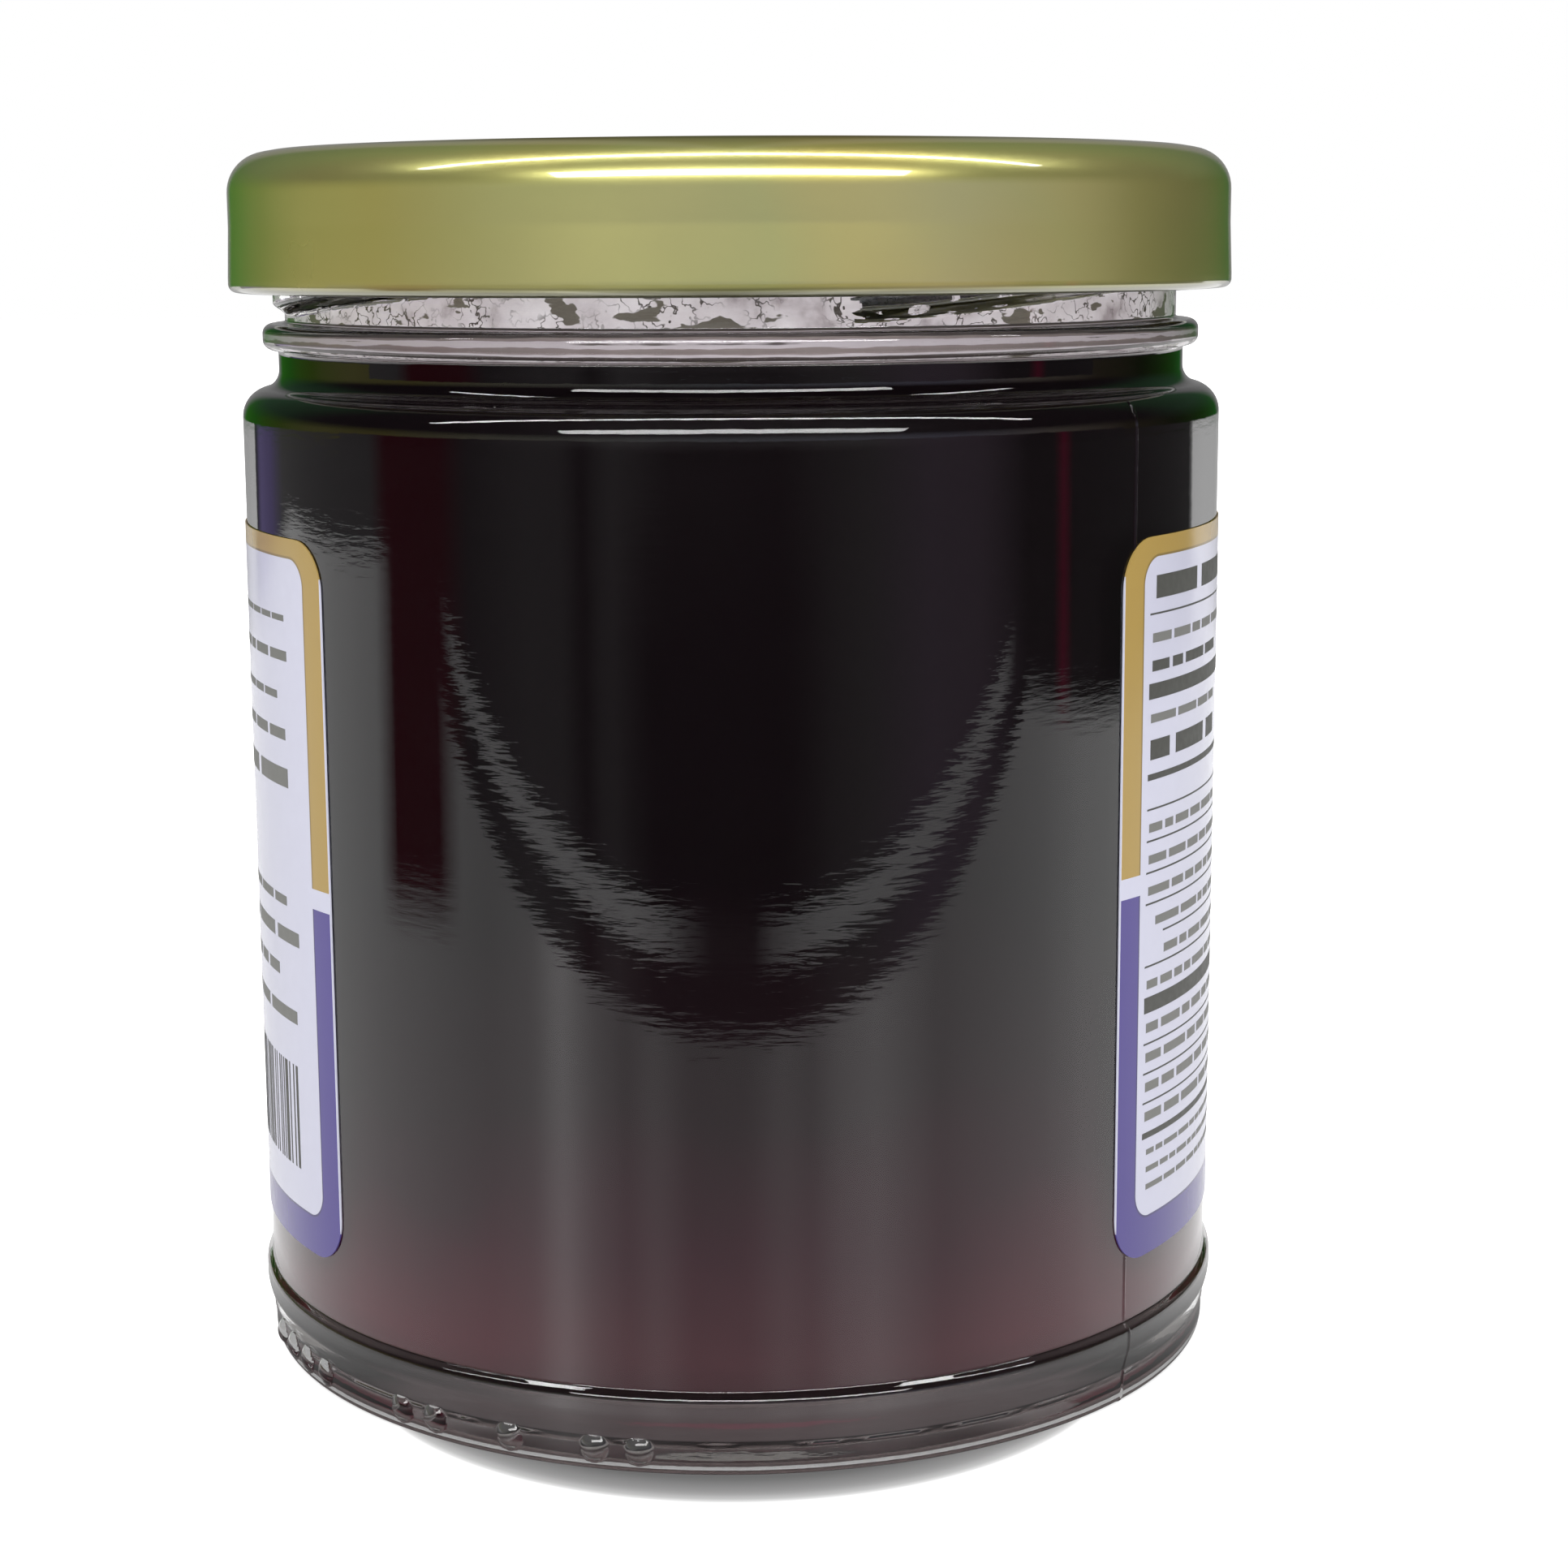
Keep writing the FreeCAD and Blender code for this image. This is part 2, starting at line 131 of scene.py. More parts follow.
FOOT_ROW = 0.12             # rows of faces on the foot and on the threads are this high
THREAD_ROW = 0.18
DOT_SAMPLING = (2.0, 0.2)   # half width and step, in degrees, of the columns at a dot
SEAM_SAMPLING = (0.45, 0.09)

# ---- Sizes of the lid ----
LID_TOP_Z = LID_HIGH.z
CURL_R = LID_HIGH.x
SKIRT_R = CURL_R - 0.14
SHEET = 0.25
STEP_R = MOUTH_R - 1.0
RING_FLAT_R = FINISH_R + 0.6
RING_FALL = 0.55
PANEL_Z = LID_TOP_Z - 0.85
BUTTON_Z = PANEL_Z - 0.35
BUTTON_R = 10.5
BUTTON_FOOT_R = 12.0
BUTTON_ROUND = 1.5
STEP_WIDTH = 0.5
SKIRT_BEND_Z = LID_EDGE_Z + 4.6
CURL_START_Z = LID_EDGE_Z + 1.0
CURL_HEIGHT = 1.65
CURL_WIDTH = 1.55

# ---- Sizes of the label ----
LABEL_R = BODY_R + 0.13
LABEL_INNER_R = BODY_R + 0.03
LABEL_FIRST = 46.8
LABEL_LAST = 309.1
LABEL_CORNER = 3.4
LABEL_MIDDLE = (LABEL_FIRST + LABEL_LAST) / 2
DEG_MM = math.radians(1) * LABEL_R      # millimetres along the paper for one degree


# ---- Small helpers ----
def smoothstep(value):
    """Smooth rise from 0 to 1 as value goes from 0 to 1."""
    value = min(max(value, 0.0), 1.0)
    return value * value * (3 - 2 * value)


def place(radius, angle, height):
    """Point in millimetres at a radius, an angle from the front and a height."""
    turn = math.radians(angle)
    return Vector((radius * math.sin(turn), -radius * math.cos(turn), height))


def spread(first, last, count):
    """Evenly spaced values from first to last."""
    return [first + (last - first) * index / (count - 1) for index in range(count)]


def rounded(corners, arc_step=7.0):
    """Open polyline through (radius, height, fillet) corners with their bends sampled.

    Two roundings that would meet on a side both shrink alike.
    """
    spots = [Vector((r, z)) for r, z, fillet in corners]
    halves = [math.pi / 2] + [
        (before - spot).angle(after - spot) / 2
        for before, spot, after in zip(spots, spots[1:], spots[2:])] + [math.pi / 2]
    reaches = [corner[2] / math.tan(half) for corner, half in zip(corners, halves)]
    rooms = [1.0]
    for index in range(len(spots) - 1):
        room = MOST_OF_SIDE * (spots[index + 1] - spots[index]).length
        rooms.append(room / max(reaches[index] + reaches[index + 1], room))
    rooms.append(1.0)
    path = [spots[0]]
    for index in range(1, len(spots) - 1):
        corner, half = spots[index], halves[index]
        reach = reaches[index] * min(rooms[index], rooms[index + 1])
        if reach == 0:
            path.append(corner)
            continue
        back = (spots[index - 1] - corner).normalized()
        ahead = (spots[index + 1] - corner).normalized()
        radius = reach * math.tan(half)
        centre = corner + (back + ahead).normalized() * (radius / math.sin(half))
        start = corner + back * reach - centre
        end = corner + ahead * reach - centre
        sweep = math.atan2(start.x * end.y - start.y * end.x, start.dot(end))
        steps = max(2, math.ceil(abs(math.degrees(sweep)) / arc_step))
        for step in range(steps + 1):
            turn = sweep * step / steps
            path.append(centre + Vector((start.x * math.cos(turn) - start.y * math.sin(turn),
                                         start.x * math.sin(turn) + start.y * math.cos(turn))))
    return path + [spots[-1]]


def supported(path, margin=0.12, longest=5.0):
    """The same polyline with its long runs divided, closely at their ends, so they shade flat."""
    result = [path[0]]
    for start, end in zip(path, path[1:]):
        length = (end - start).length
        if length > 4 * margin:
            stops = [margin]
            count = max(1, round((length - 2 * margin) / longest))
            stops += [margin + (length - 2 * margin) * step / count for step in range(1, count + 1)]
            result += [start.lerp(end, stop / length) for stop in stops]
        result.append(end)
    return result


def refined(path, longest, low, high):
    """The same polyline with its outer runs between two heights divided into short steps."""
    result = [path[0]]
    for start, end in zip(path, path[1:]):
        middle = (start + end) / 2
        count = 1
        if low < middle.y < high and middle.x > FINISH_R - 1:
            count = max(1, math.ceil((end - start).length / longest))
        result += [start.lerp(end, step / count) for step in range(1, count + 1)]
    return result


def ring_angles(step, fine_spots=()):
    """Angles once round, with (middle, half width, fine step) spots sampled more closely."""
    coarse = spread(0, FULL_TURN, round(FULL_TURN / step) + 1)[:-1]
    angles = set(round(value, 3) for value in coarse)
    for middle, half, fine in fine_spots:
        count = 2 * math.ceil(half / fine) + 1
        for value in spread(middle - half, middle + half, count):
            angles.add(round(value % FULL_TURN, 3))
    ordered = sorted(angles)
    kept = [ordered[0]]
    for value in ordered[1:]:
        if value - kept[-1] > CLOSEST_ANGLES:
            kept.append(value)
    return kept


def add_piece(name, points, faces, material, slot=None, sharp_angle=40.0):
    """New mesh object from points in millimetres, smooth but for its sharp edges."""
    mesh = bpy.data.meshes.new(name)
    mesh.from_pydata([point * MM for point in points], [], faces)
    mesh.validate()
    mesh.polygons.foreach_set("use_smooth", [True] * len(mesh.polygons))
    mesh.set_sharp_from_angle(angle=math.radians(sharp_angle))
    mesh.materials.append(material)
    piece = bpy.data.objects.new(name, mesh)
    bpy.context.scene.collection.objects.link(piece)
    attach(piece, "root")
    return piece


def lathe(path, angles, relief=None):
    """Points and faces of a surface turned about Z.  Path ends on the axis become one point."""
    points = []
    rows = []
    for spot in path:
        if spot.x < 1e-6:
            rows.append([len(points)] * len(angles))
            points.append(Vector((0, 0, spot.y)))
            continue
        row = []
        for angle in angles:
            lift = relief(angle, spot) if relief else 0.0
            row.append(len(points))
            points.append(place(spot.x + lift, angle, spot.y))
        rows.append(row)
    faces = []
    count = len(angles)
    for lower, upper in zip(rows, rows[1:]):
        for index in range(count):
            after = (index + 1) % count
            corners = (lower[index], lower[after], upper[after], upper[index])
            unique = tuple(dict.fromkeys(corners))
            if len(unique) > 2:
                faces.append(unique)
    return points, faces


# ---- Node helpers ----
class Nodes:
    """Short way to write a node tree: each call adds a node and links what it is given."""

    def __init__(self, tree):
        self.tree = tree
        tree.nodes.clear()

    def add(self, kind, inputs=None, **settings):
        node = self.tree.nodes.new(kind)
        for key, value in settings.items():
            setattr(node, key, value)
        for key, value in (inputs or {}).items():
            self.give(node.inputs[key], value)
        return node

    def give(self, socket, value):
        if isinstance(value, bpy.types.NodeSocket):
            self.tree.links.new(value, socket)
        elif isinstance(value, bpy.types.Node):
            self.tree.links.new(value.outputs[0], socket)
        else:
            socket.default_value = value

    def math(self, operation, first, second=0.0):
        return self.add("ShaderNodeMath", {0: first, 1: second}, operation=operation).outputs[0]

    def times(self, first, second):
        return self.math("MULTIPLY", first, second)

    def minus(self, first, second):
        return self.math("SUBTRACT", first, second)

    def length(self, first, second):
        """Length of the flat vector with these two parts."""
        squares = [self.math("POWER", self.math("ABSOLUTE", part), 2.0) for part in (first, second)]
        return self.math("SQRT", self.math("ADD", *squares))

    def rise(self, value, low, high):
        """0 at low, 1 at high and straight between; low may be the greater of the two."""
        return self.add("ShaderNodeMapRange", {
            "Value": value, "From Min": low, "From Max": high}).outputs[0]

    def band(self, value, low, high, soft):
        """1 between low and high, falling to 0 over a soft width on both sides."""
        return self.times(self.rise(value, low - soft / 2, low + soft / 2),
                          self.rise(value, high + soft / 2, high - soft / 2))

    def ramp(self, value, stops):
        """Colour ramp: stops are (position, colour) with a grey value or an (r, g, b)."""
        node = self.add("ShaderNodeValToRGB", {"Fac": value})
        elements = node.color_ramp.elements
        while len(elements) < len(stops):
            elements.new(0.5)
        for element, (position, colour) in zip(elements, stops):
            element.position = position
            element.color = rgba(colour)
        return node.outputs["Color"]

    def mix(self, factor, first, second):
        """Colour between two, each a socket, a grey value or an (r, g, b)."""
        node = self.add("ShaderNodeMix", {0: factor}, data_type="RGBA")
        for socket, colour in ((node.inputs[6], first), (node.inputs[7], second)):
            self.give(socket, rgba(colour) if isinstance(colour, (tuple, float)) else colour)
        return node.outputs[2]

    def noise(self, scale, detail, vector):
        return self.add("ShaderNodeTexNoise", {
            "Scale": scale, "Detail": detail, "Vector": vector}).outputs["Fac"]

    def bump(self, height, strength, distance):
        return self.add("ShaderNodeBump", {
            "Height": height, "Strength": strength, "Distance": distance})

    def spot(self):
        """Where on the piece a point is, in metres."""
        return self.add("ShaderNodeTexCoord").outputs["Object"]

    def split(self, vector):
        """X, Y and Z of a vector."""
        return self.add("ShaderNodeSeparateXYZ", {0: vector}).outputs[:3]

    def surface(self, shader):
        self.add("ShaderNodeOutputMaterial", {"Surface": shader})


def rgba(colour):
    """Four numbers for a colour socket from a grey value or three numbers."""
    if isinstance(colour, (int, float)):
        return (colour, colour, colour, 1.0)
    return tuple(colour)[:3] + (1.0,)


def srgb(red, green, blue):
    """Linear colour from 0-255 display values."""
    def linear(value):
        value /= 255
        return value / 12.92 if value <= 0.04045 else ((value + 0.055) / 1.055) ** 2.4
    return (linear(red), linear(green), linear(blue))


def new_material(name):
    material = bpy.data.materials.new(name)
    material.use_nodes = True
    return material, Nodes(material.node_tree)


# ---- Materials ----
def glass_material():
    """Clear flint glass with a faint ripple.  Light for what it holds goes straight through."""
    material, nodes = new_material("clear_glass")
    spot = nodes.spot()
    flat = nodes.add("ShaderNodeMapping", {"Vector": spot, "Scale": (1, 1, 5)})
    shader = nodes.add("ShaderNodeBsdfPrincipled", {
        "Base Color": rgba((0.93, 0.925, 0.925)),
        "Roughness": nodes.ramp(nodes.noise(300.0, 3.0, spot), [(0.3, 0.0), (0.8, 0.03)]),
        "IOR": 1.5,
        "Transmission Weight": 1.0,
        "Normal": nodes.bump(nodes.noise(420.0, 3.0, flat), 0.2, 0.00003),
    })
    clear = nodes.add("ShaderNodeBsdfTransparent", {"Color": rgba(0.99)})
    rays = nodes.add("ShaderNodeLightPath")
    passing = nodes.math("MAXIMUM", rays.outputs["Is Shadow Ray"], rays.outputs["Is Diffuse Ray"])
    nodes.surface(nodes.add("ShaderNodeMixShader", {0: passing, 1: shader, 2: clear}))
    return material


def jelly_material():
    """Dark berry jelly: nearly black, with painted light in its colour: a wine red glow near the
    floor and a paler underside with a pink ring, standing for light that comes in through the base.
    """
    material, nodes = new_material("dark_jelly")
    spot = nodes.spot()
    sideways, forward, height = nodes.split(spot)
    drift = nodes.times(nodes.minus(nodes.noise(60.0, 4.0, spot), 0.5), 0.012)
    level = nodes.math("DIVIDE", nodes.math("ADD", height, drift), FILL_Z * MM)
    # Painted glow: darker at the top and wine red towards the floor, for light that comes in
    # through the base and scatters in the jelly.
    colour = nodes.ramp(level, [
        (0.10, (0.026, 0.0075, 0.0105)),
        (0.20, (0.0155, 0.004, 0.007)),
        (0.34, (0.006, 0.0025, 0.0035)),
        (0.52, (0.0013, 0.0004, 0.0008)),
    ])
    # Painted glow: a brighter red low down at both sides.
    side_glow_share = nodes.rise(nodes.math("ABSOLUTE", sideways), 0.010, 0.026)
    low_glow_share = nodes.rise(level, 0.26, 0.10)
    colour = nodes.mix(nodes.times(side_glow_share, low_glow_share), colour, (0.042, 0.006, 0.011))
    # Painted light on the underside: pale grey-pink with a pink ring and a dark band, by distance
    # from the axis, for light that comes in through the base.
    from_axis = nodes.length(sideways, forward)
    below = nodes.ramp(nodes.math("DIVIDE", from_axis, 0.036), [
        (0.225, (0.24, 0.11, 0.135)), (0.240, (0.16, 0.125, 0.13)), (0.45, (0.15, 0.12, 0.125)),
        (0.54, (0.020, 0.012, 0.013)), (0.70, (0.020, 0.012, 0.013)), (0.80, (0.07, 0.055, 0.055)),
        (0.90, (0.09, 0.07, 0.07))])
    colour = nodes.mix(nodes.rise(height, 0.0050, 0.0046), colour, below)
    lumps = nodes.noise(220.0, 3.0, spot)
    nodes.surface(nodes.add("ShaderNodeBsdfPrincipled", {
        "Base Color": colour,
        "Roughness": nodes.ramp(lumps, [(0.2, 0.30), (0.8, 0.45)]),
        "Specular IOR Level": 0.02,
        "Normal": nodes.bump(lumps, 0.2, 0.0005),
    }))
    return material


def lid_material():
    """Gold lacquer on steel: a satin metal under a thin gloss coat, with faint mottling and painted
    shade on the rolled edge.
    """
    material, nodes = new_material("gold_lacquer")
    spot = nodes.spot()
    height = nodes.split(spot)[2]
    colour = nodes.ramp(nodes.noise(26.0, 2.0, spot), [
        (0.34, (0.45, 0.34, 0.085)),
        (0.50, (0.38, 0.37, 0.125)),
        (0.66, (0.41, 0.365, 0.135)),
    ])
    # Painted shade: the rolled edge is darker, which dims its reflection of the bright table.
    painted_edge_shade = nodes.rise(height, (LID_EDGE_Z + 0.7) * MM, (LID_EDGE_Z + 0.3) * MM)
    nodes.surface(nodes.add("ShaderNodeBsdfPrincipled", {
        "Base Color": nodes.mix(painted_edge_shade, colour, (0.15, 0.145, 0.08)),
        "Metallic": 0.78,
        "Roughness": nodes.ramp(nodes.noise(60.0, 3.0, spot), [(0.3, 0.27), (0.7, 0.33)]),
        "Coat Weight": 1.0,
        "Coat Roughness": 0.05,
        "Coat IOR": 1.9,
        "Normal": nodes.bump(nodes.noise(2600.0, 2.0, spot), 0.04, 0.00008),
    }))
    return material


def seal_material():
    """Cream sealing compound inside the lid."""
    material, nodes = new_material("seal_compound")
    speckle = nodes.noise(700.0, 3.0, nodes.spot())
    nodes.surface(nodes.add("ShaderNodeBsdfPrincipled", {
        "Base Color": nodes.ramp(speckle, [(0.3, (0.60, 0.57, 0.48)), (0.7, (0.68, 0.65, 0.56))]),
        "Roughness": nodes.ramp(speckle, [(0.3, 0.55), (0.7, 0.7)]),
        "Normal": nodes.bump(speckle, 0.3, 0.0002),
    }))
    return material


GOLD = srgb(141, 118, 62)
GOLD_DULL = srgb(133, 111, 65)
PURPLE = srgb(68, 59, 115)
PURPLE_DARK = srgb(63, 55, 107)
PAPER = srgb(166, 166, 180)
INK = srgb(48, 48, 44)
SOFT_INK = srgb(86, 86, 83)
HAIRLINE = 0.16             # dark line between border and field
HAIRLINE_INK = 0.45         # share of ink in that line
PAPER_EDGE = 0.14           # bare paper at the label's two ends

BORDER_SIDE = 2.5
BORDER_TOP = 1.4
BORDER_BOTTOM = 2.85
FIELD_CORNER = 1.9
SPLIT_Z = 37.15             # middle of the white gap between gold and purple
SPLIT_TILT = 0.85           # the gap is this much higher at the right end than at the left
SPLIT_GAP = 1.45


def label_material():
    """Coated paper: a pale field in a border that is gold above and purple below."""
    material, nodes = new_material("label_paper")
    spot = nodes.spot()
    turned = nodes.add("ShaderNodeVectorRotate", {
        "Vector": spot, "Axis": (0, 0, 1), "Angle": math.radians(FULL_TURN / 4 - LABEL_MIDDLE)})
    flat_x, flat_y, _ = nodes.split(turned)
    along = nodes.times(nodes.math("ARCTAN2", flat_y, flat_x), LABEL_R)
    height = nodes.math("DIVIDE", nodes.split(spot)[2], MM)

    half_width = (LABEL_LAST - LABEL_FIRST) / 2 * DEG_MM - BORDER_SIDE
    low, high = LABEL_LOW.z + BORDER_BOTTOM, LABEL_HIGH.z - BORDER_TOP
    from_middle = nodes.math("ABSOLUTE", along)
    from_side = nodes.minus(from_middle, half_width - FIELD_CORNER)
    centred = nodes.math("ABSOLUTE", nodes.minus(height, (low + high) / 2))
    from_end = nodes.minus(centred, (high - low) / 2 - FIELD_CORNER)
    outside = nodes.length(nodes.math("MAXIMUM", from_side, 0.0),
                           nodes.math("MAXIMUM", from_end, 0.0))
    inside = nodes.math("MINIMUM", nodes.math("MAXIMUM", from_side, from_end), 0.0)
    distance = nodes.minus(nodes.math("ADD", outside, inside), FIELD_CORNER)

    fibres = nodes.noise(900.0, 3.0, spot)
    # Slow random patches where the gold and the purple are a little duller.
    ink_patches = nodes.noise(45.0, 3.0, spot)
    gold = nodes.mix(ink_patches, GOLD, GOLD_DULL)
    purple = nodes.mix(ink_patches, PURPLE, PURPLE_DARK)
    tilt = nodes.times(along, -SPLIT_TILT / 2 / half_width)
    above = nodes.minus(nodes.minus(height, SPLIT_Z), tilt)
    is_gold = nodes.math("GREATER_THAN", above, SPLIT_GAP / 2)
    is_purple = nodes.math("LESS_THAN", above, -SPLIT_GAP / 2)
    paper = nodes.mix(fibres, PAPER, tuple(0.96 * value for value in PAPER))
    border = nodes.mix(is_gold, nodes.mix(is_purple, paper, purple), gold)
    colour = nodes.mix(nodes.math("GREATER_THAN", distance, 0.0), paper, border)
    printed = nodes.math("MAXIMUM", is_gold, is_purple)
    line = nodes.times(nodes.band(distance, 0.0, HAIRLINE, 0.04), printed)
    colour = nodes.mix(nodes.times(line, HAIRLINE_INK), colour, INK)
    from_edge = nodes.minus(half_width + BORDER_SIDE, from_middle)
    colour = nodes.mix(nodes.math("LESS_THAN", from_edge, PAPER_EDGE), colour, PAPER)
    nodes.surface(nodes.add("ShaderNodeBsdfPrincipled", {
        "Base Color": colour,
        "Roughness": nodes.ramp(fibres, [(0.3, 0.14), (0.7, 0.20)]),
        "Specular IOR Level": 0.2,
        "Normal": nodes.bump(fibres, 0.04, 0.00003),
    }))
    return material


def ink_material(name, ink):
    """Printed ink, a little uneven."""
    material, nodes = new_material(name)
    patch = nodes.noise(1500.0, 2.0, nodes.spot())
    nodes.surface(nodes.add("ShaderNodeBsdfPrincipled", {
        "Base Color": nodes.mix(patch, ink, tuple(1.35 * value for value in ink)),
        "Roughness": nodes.ramp(patch, [(0.3, 0.5), (0.7, 0.6)]),
    }))
    return material


def film_material():
    """Dried pinkish foam on the inside of the neck: cracked above the bead; behind the bead, level
    bands of painted light and shade stand for the bright and dark bands seen through the bead.
    """
    material, nodes = new_material("jelly_foam")
    spot = nodes.spot()
    sideways, forward, height = nodes.split(spot)

    def drawn_out(share):
        """The spot with its level directions scaled, so that noise in it is drawn out level."""
        return nodes.add("ShaderNodeCombineXYZ", {
            0: nodes.times(sideways, share), 1: nodes.times(forward, share), 2: height})

    patch = nodes.noise(380.0, 4.0, spot)
    colour = nodes.ramp(patch, [
        (0.30, (0.40, 0.34, 0.36)), (0.42, (0.66, 0.60, 0.63)), (0.7, (0.84, 0.79, 0.82))])
    ridge = nodes.math("ABSOLUTE", nodes.minus(nodes.noise(1100.0, 2.0, spot), 0.5))
    crack = nodes.rise(ridge, 0.028, 0.012)
    worn = nodes.rise(nodes.noise(240.0, 2.0, spot), 0.40, 0.52)
    colour = nodes.mix(nodes.times(crack, worn), colour, (0.075, 0.060, 0.052))
    gap = nodes.rise(nodes.noise(620.0, 3.0, drawn_out(0.5)), 0.575, 0.590)
    colour = nodes.mix(gap, colour, (0.13, 0.112, 0.088))
    # Painted light and shade behind the bead: level bands, bright and dark, standing for what the
    # bead bends into view.
    wave = nodes.times(nodes.minus(nodes.noise(2600.0, 2.0, drawn_out(0.12)), 0.5), 0.0003)
    level = nodes.math("DIVIDE", nodes.minus(
        nodes.math("ADD", height, wave), BEAD_BOTTOM_Z * MM), 0.002)
    bead_light_bands = nodes.ramp(level, [
        (0.25, (0.020, 0.012, 0.012)), (0.29, (0.13, 0.105, 0.10)), (0.395, (0.16, 0.125, 0.125)),
        (0.415, (0.38, 0.34, 0.365)), (0.495, (0.38, 0.34, 0.365)), (0.515, (0.045, 0.030, 0.028)),
        (0.90, (0.025, 0.016, 0.015))])
    # Where the bead stands in front, the painted bands take the place of the foam's colour.
    behind = nodes.rise(height, (BEAD_TOP_Z + 0.05) * MM, (BEAD_TOP_Z - 0.05) * MM)
    nodes.surface(nodes.add("ShaderNodeBsdfPrincipled", {
        "Base Color": nodes.mix(behind, colour, bead_light_bands),
        "Roughness": nodes.ramp(patch, [(0.3, 0.5), (0.7, 0.75)]),
        "Normal": nodes.bump(patch, 0.6, 0.0004),
    }))
    return material


# ---- Glass ----
def glass_outside():
    """Outside of the glass from the middle of the base to the rim."""
    return [
        (0, PUSH_UP_Z, 0), (DOME_R, PUSH_UP_Z, DOME_ROUND), (PUSH_UP_R, PUSH_UP_LOW_Z, 0.8),
        (BEARING_R, 0, 0.8), (FOOT_R, 0, 0.7), (BODY_R, FOOT_Z, 0.3),
        (HEEL_R, HEEL_LOW_Z, 2.5), (HEEL_R, LEDGE_Z - 0.45, 0.7), (BODY_R, LEDGE_Z, 0.3),
        (BODY_R, SHOULDER_Z - SHOULDER_FALL, 2.3), (NECK_R, SHOULDER_Z, 1.5),
        (NECK_R, BEAD_BOTTOM_Z, 0.35), (BEAD_R, BEAD_BOTTOM_Z, 0.7), (BEAD_R, BEAD_TOP_Z, 0.7),
        (FINISH_R, BEAD_TOP_Z, 0.35), (FINISH_R, RIM_Z, RIM_ROUND),
    ]


def glass_inside():
    """Inside of the glass from the rim down to the middle of the floor."""
    return [
        (MOUTH_R, RIM_Z, RIM_ROUND), (MOUTH_R, BEAD_TOP_Z, INNER_ROUND),
        (INNER_NECK_R, INNER_NECK_Z, INNER_ROUND), (CAVITY_R, INNER_SHOULDER_Z, INNER_ROUND),
        (CAVITY_R, FLOOR_Z, FLOOR_CORNER), (DOME_R, DOME_Z, DOME_ROUND), (0, DOME_Z, 0),
    ]


def thread_at(angle):
    """How far round its thread an angle is, and the height of the thread's middle there."""
    turned_by = (angle - THREAD_FIRST) % THREAD_PITCH
    return turned_by, THREAD_LOW_Z + THREAD_LEAD * turned_by / FULL_TURN


def degrees_apart(angle, other):
    """The short way round from one angle to the other, with its sign."""
    return (angle - other + 180) % FULL_TURN - 180


def thread_relief(angle, height):
    """How far a thread stands out of the finish wall at one place."""
    turned_by, middle = thread_at(angle)
    from_end = min(turned_by, THREAD_ARC - turned_by)
    if from_end <= 0:
        return 0.0
    fade = math.sin(math.pi / 2 * min(from_end / THREAD_RUNOUT, 1))
    crest = THREAD_HALF_CREST * (1 + fade) / 2
    flank = THREAD_HALF_ROOT - THREAD_HALF_CREST + 0.25
    return THREAD_DEPTH * fade * smoothstep(1 - (abs(height - middle) - crest + 0.15) / flank)


def dot_relief(angle, height):
    """How far a mould dot stands out of the foot at one place."""
    sphere = (DOT_R ** 2 + DOT_PROUD ** 2) / (2 * DOT_PROUD)
    best = 0.0
    for dot in DOT_ANGLES:
        sideways = math.radians(degrees_apart(angle, dot)) * FOOT_R
        away = math.hypot(sideways, height - DOT_Z)
        if away < DOT_R:
            best = max(best, math.sqrt(sphere ** 2 - away ** 2) - sphere + DOT_PROUD)
    return best


def seam_relief(angle):
    """How far the mould seam stands out at one angle."""
    away = min(abs(degrees_apart(angle, seam)) for seam in SEAM_ANGLES)
    return SEAM_PROUD * smoothstep(1 - away / SEAM_HALF_WIDTH)


def parting_relief(angle, height):
    """How far the broken ring seam between base mould and body mould stands out."""
    broken = noise.noise(place(FOOT_R, angle, PARTING_Z) * 0.6)
    ridge = smoothstep(1 - abs(height - PARTING_Z) / PARTING_HALF_WIDTH)
    return PARTING_PROUD * ridge * smoothstep(0.5 + 2.5 * broken)


def outside_relief(angle, spot):
    """Threads, mould dots and seams on the outside of the glass."""
    if BEAD_TOP_Z < spot.y < RIM_Z - RIM_ROUND and abs(spot.x - FINISH_R) < 0.4:
        return thread_relief(angle, spot.y)
    if spot.x < FOOT_R - 1:
        return 0.0
    if FOOT_DETAIL_Z < spot.y < FOOT_Z:
        return max(dot_relief(angle, spot.y), parting_relief(angle, spot.y)) + seam_relief(angle)
    return seam_relief(angle)


def glass_jar(material):
    """The jar as one closed shell."""
    outside = supported(rounded(glass_outside() + [glass_inside()[0]])[:-1])
    outside = refined(outside, FOOT_ROW, FOOT_DETAIL_Z - 0.1, FOOT_Z)
    outside = refined(outside, THREAD_ROW, BEAD_TOP_Z, RIM_Z - RIM_ROUND)
    inside = supported(rounded([glass_outside()[-1]] + glass_inside())[1:])
    spots = [(dot, *DOT_SAMPLING) for dot in DOT_ANGLES]
    spots += [(seam, *SEAM_SAMPLING) for seam in SEAM_ANGLES]
    angles = ring_angles(1.0, spots)
    count = len(outside)
    path = outside + inside
    place_in_path = {id(spot): index for index, spot in enumerate(path)}

    def relief(angle, spot):
        return outside_relief(angle, spot) if place_in_path[id(spot)] < count else 0.0

    points, faces = lathe(path, angles, relief)
    piece = add_piece("glass_jar", points, faces, material, "glass")
    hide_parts("jar_glass")


# ---- Jelly ----
JELLY_INTO_WALL = 0.1
MENISCUS_REACH = 3.0        # the climb at the glass fades out over this distance
MENISCUS_STEPS = 8
MENISCUS_BEND = 2.2
LEVEL_R = 18.0              # a ring of points on the level surface


